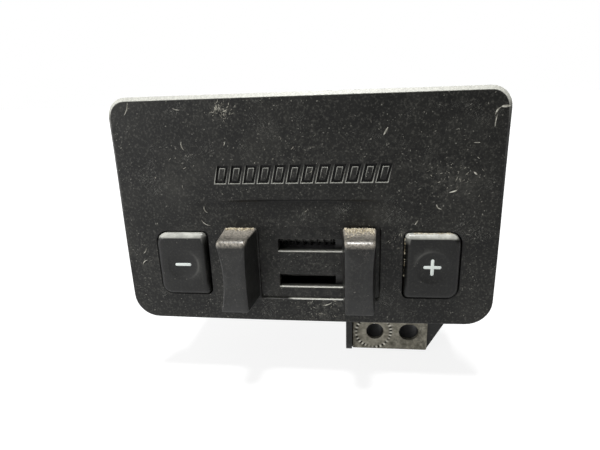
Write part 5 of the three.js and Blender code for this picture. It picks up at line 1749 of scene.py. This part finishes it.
@dataclass(frozen=True)
class Studio:
    """Camera, floor and lights."""

    eye: tuple[float, float, float] = (15.96, -138.65, 38.02)
    right: tuple[float, float, float] = (0.9930, 0.1134, -0.0331)
    down: tuple[float, float, float] = (0.0015, -0.2921, -0.9564)
    forward: tuple[float, float, float] = (-0.1181, 0.9496, -0.2902)
    lens: float = 25.98
    floor_gap: float = 0.4
    floor_half: float = 6.0  # metres
    table_glow_left: float = 0.46  # as a light
    table_glow_right: float = 0.0
    table_glow_near: float = 0.36
    table_look: float = 0.86  # as the backdrop
    room_left: float = 0.46
    room_right: float = 0.0
    overhead_place: tuple[float, float, float] = (-0.05, -0.12, 1.0)  # metres
    overhead_power: float = 3.6
    overhead_spread: float = 14.0
    fill_place: tuple[float, float, float] = (-0.55, -0.5, 0.12)  # metres
    fill_power: float = 1.6
    fill_size: float = 0.5  # metres

    def camera(self) -> None:
        """Camera just above the middle of the face, looking slightly down."""
        data = bpy.data.cameras.new("camera")
        data.lens, data.sensor_width = self.lens, 36.0
        data.clip_start, data.clip_end = 0.005, 50.0
        eye = link("camera", data)
        axes = Matrix([self.right, [-v for v in self.down], [-v for v in self.forward]]).transposed()
        eye.matrix_world = Matrix.Translation(Vector(self.eye) * MM) @ axes.normalized().to_4x4()
        bpy.context.scene.camera = eye

    def floor(self) -> None:
        """Plain pale light-table floor just below the foot."""
        z = CAD_BOX[0][2] - self.floor_gap * MM
        half = self.floor_half
        corners = [(-half, -half, z), (half, -half, z), (half, half, z), (-half, half, z)]
        mesh = bpy.data.meshes.new("floor")
        mesh.from_pydata(corners, [], [(0, 1, 2, 3)])
        floor = link("floor", mesh)
        material = bpy.data.materials.new("opal_light_table")
        material.use_nodes = True
        tree = material.node_tree
        spot = add(tree, "SeparateXYZ", {"Vector": add(tree, "TexCoord").outputs["Object"]})
        near = ramp(tree, spot.outputs["Y"], -0.4, -0.05, (0.0, self.table_glow_near))
        side = ramp(tree, spot.outputs["X"], 0.22, -0.3, (self.table_glow_right, self.table_glow_left))
        lit, seen = combine(tree, "ADD", side, near), add(tree, "LightPath").outputs["Is Camera Ray"]
        strength = blend_value(tree, seen, lit, self.table_look)
        paint = {"Base Color": linear("#8c8c8c"), "Roughness": 0.9}
        glow = {"Emission Color": (1, 1, 1, 1), "Emission Strength": strength}
        feed(tree, tree.nodes["Principled BSDF"], {**paint, **glow})
        dress(floor, material)

    def lamp(self, name: str, kind: str, place: tuple[float, float, float], power: float) -> Any:
        """Hangs a light at a place in metres, turned to the unit, and gives its settings."""
        data = bpy.data.lights.new(name, kind)
        data.energy = power
        turn = (Vector((0, 0, -0.01)) - Vector(place)).to_track_quat("-Z", "Y")
        link(name, data).matrix_world = Matrix.Translation(place) @ turn.to_matrix().to_4x4()
        return data

    def room(self) -> None:
        """White room: dimmer as a light than as a backdrop, with its brighter side on the left."""
        world = bpy.data.worlds.new("white_room")
        world.use_nodes = True
        tree = world.node_tree
        facing = add(tree, "SeparateXYZ", {"Vector": add(tree, "TexCoord").outputs["Generated"]})
        lit = ramp(tree, facing.outputs["X"], 0.8, -0.9, (self.room_right, self.room_left))
        seen = add(tree, "LightPath").outputs["Is Camera Ray"]
        glow = {"Strength": blend_value(tree, seen, lit, 1.0), "Color": (1, 1, 1, 1)}
        feed(tree, tree.nodes["Background"], glow)
        bpy.context.scene.world = world

    def build(self) -> None:
        """Sets the whole stage."""
        self.camera()
        self.floor()
        overhead = self.lamp("overhead", "SUN", self.overhead_place, self.overhead_power)
        overhead.angle = math.radians(self.overhead_spread)
        self.lamp("left_fill", "AREA", self.fill_place, self.fill_power).size = self.fill_size
        self.room()
        bpy.context.scene.view_settings.view_transform = "Standard"


def main() -> None:
    """Builds the stage and every piece, and reports each through the log."""
    logging.basicConfig(level=logging.INFO, format="%(name)s: %(message)s")
    Studio().build()
    finishes = Finishes()
    layout = ControlLayout()
    levers, keys = SqueezeLevers(layout, finishes), PressKeys(layout, finishes)
    assemblies = (
        BezelPlate(layout, finishes),
        levers,
        keys,
        ServiceGrime(layout, levers, keys, finishes),
        SliderMechanism(layout, finishes),
        MountingFoot(finishes),
        CrossRecessScrews(finishes),
    )
    for assembly in assemblies:
        assembly.build()
        LOG.info("finished %s", type(assembly).__name__)
    dress_kept(finishes)


if __name__ == "__main__":
    main()
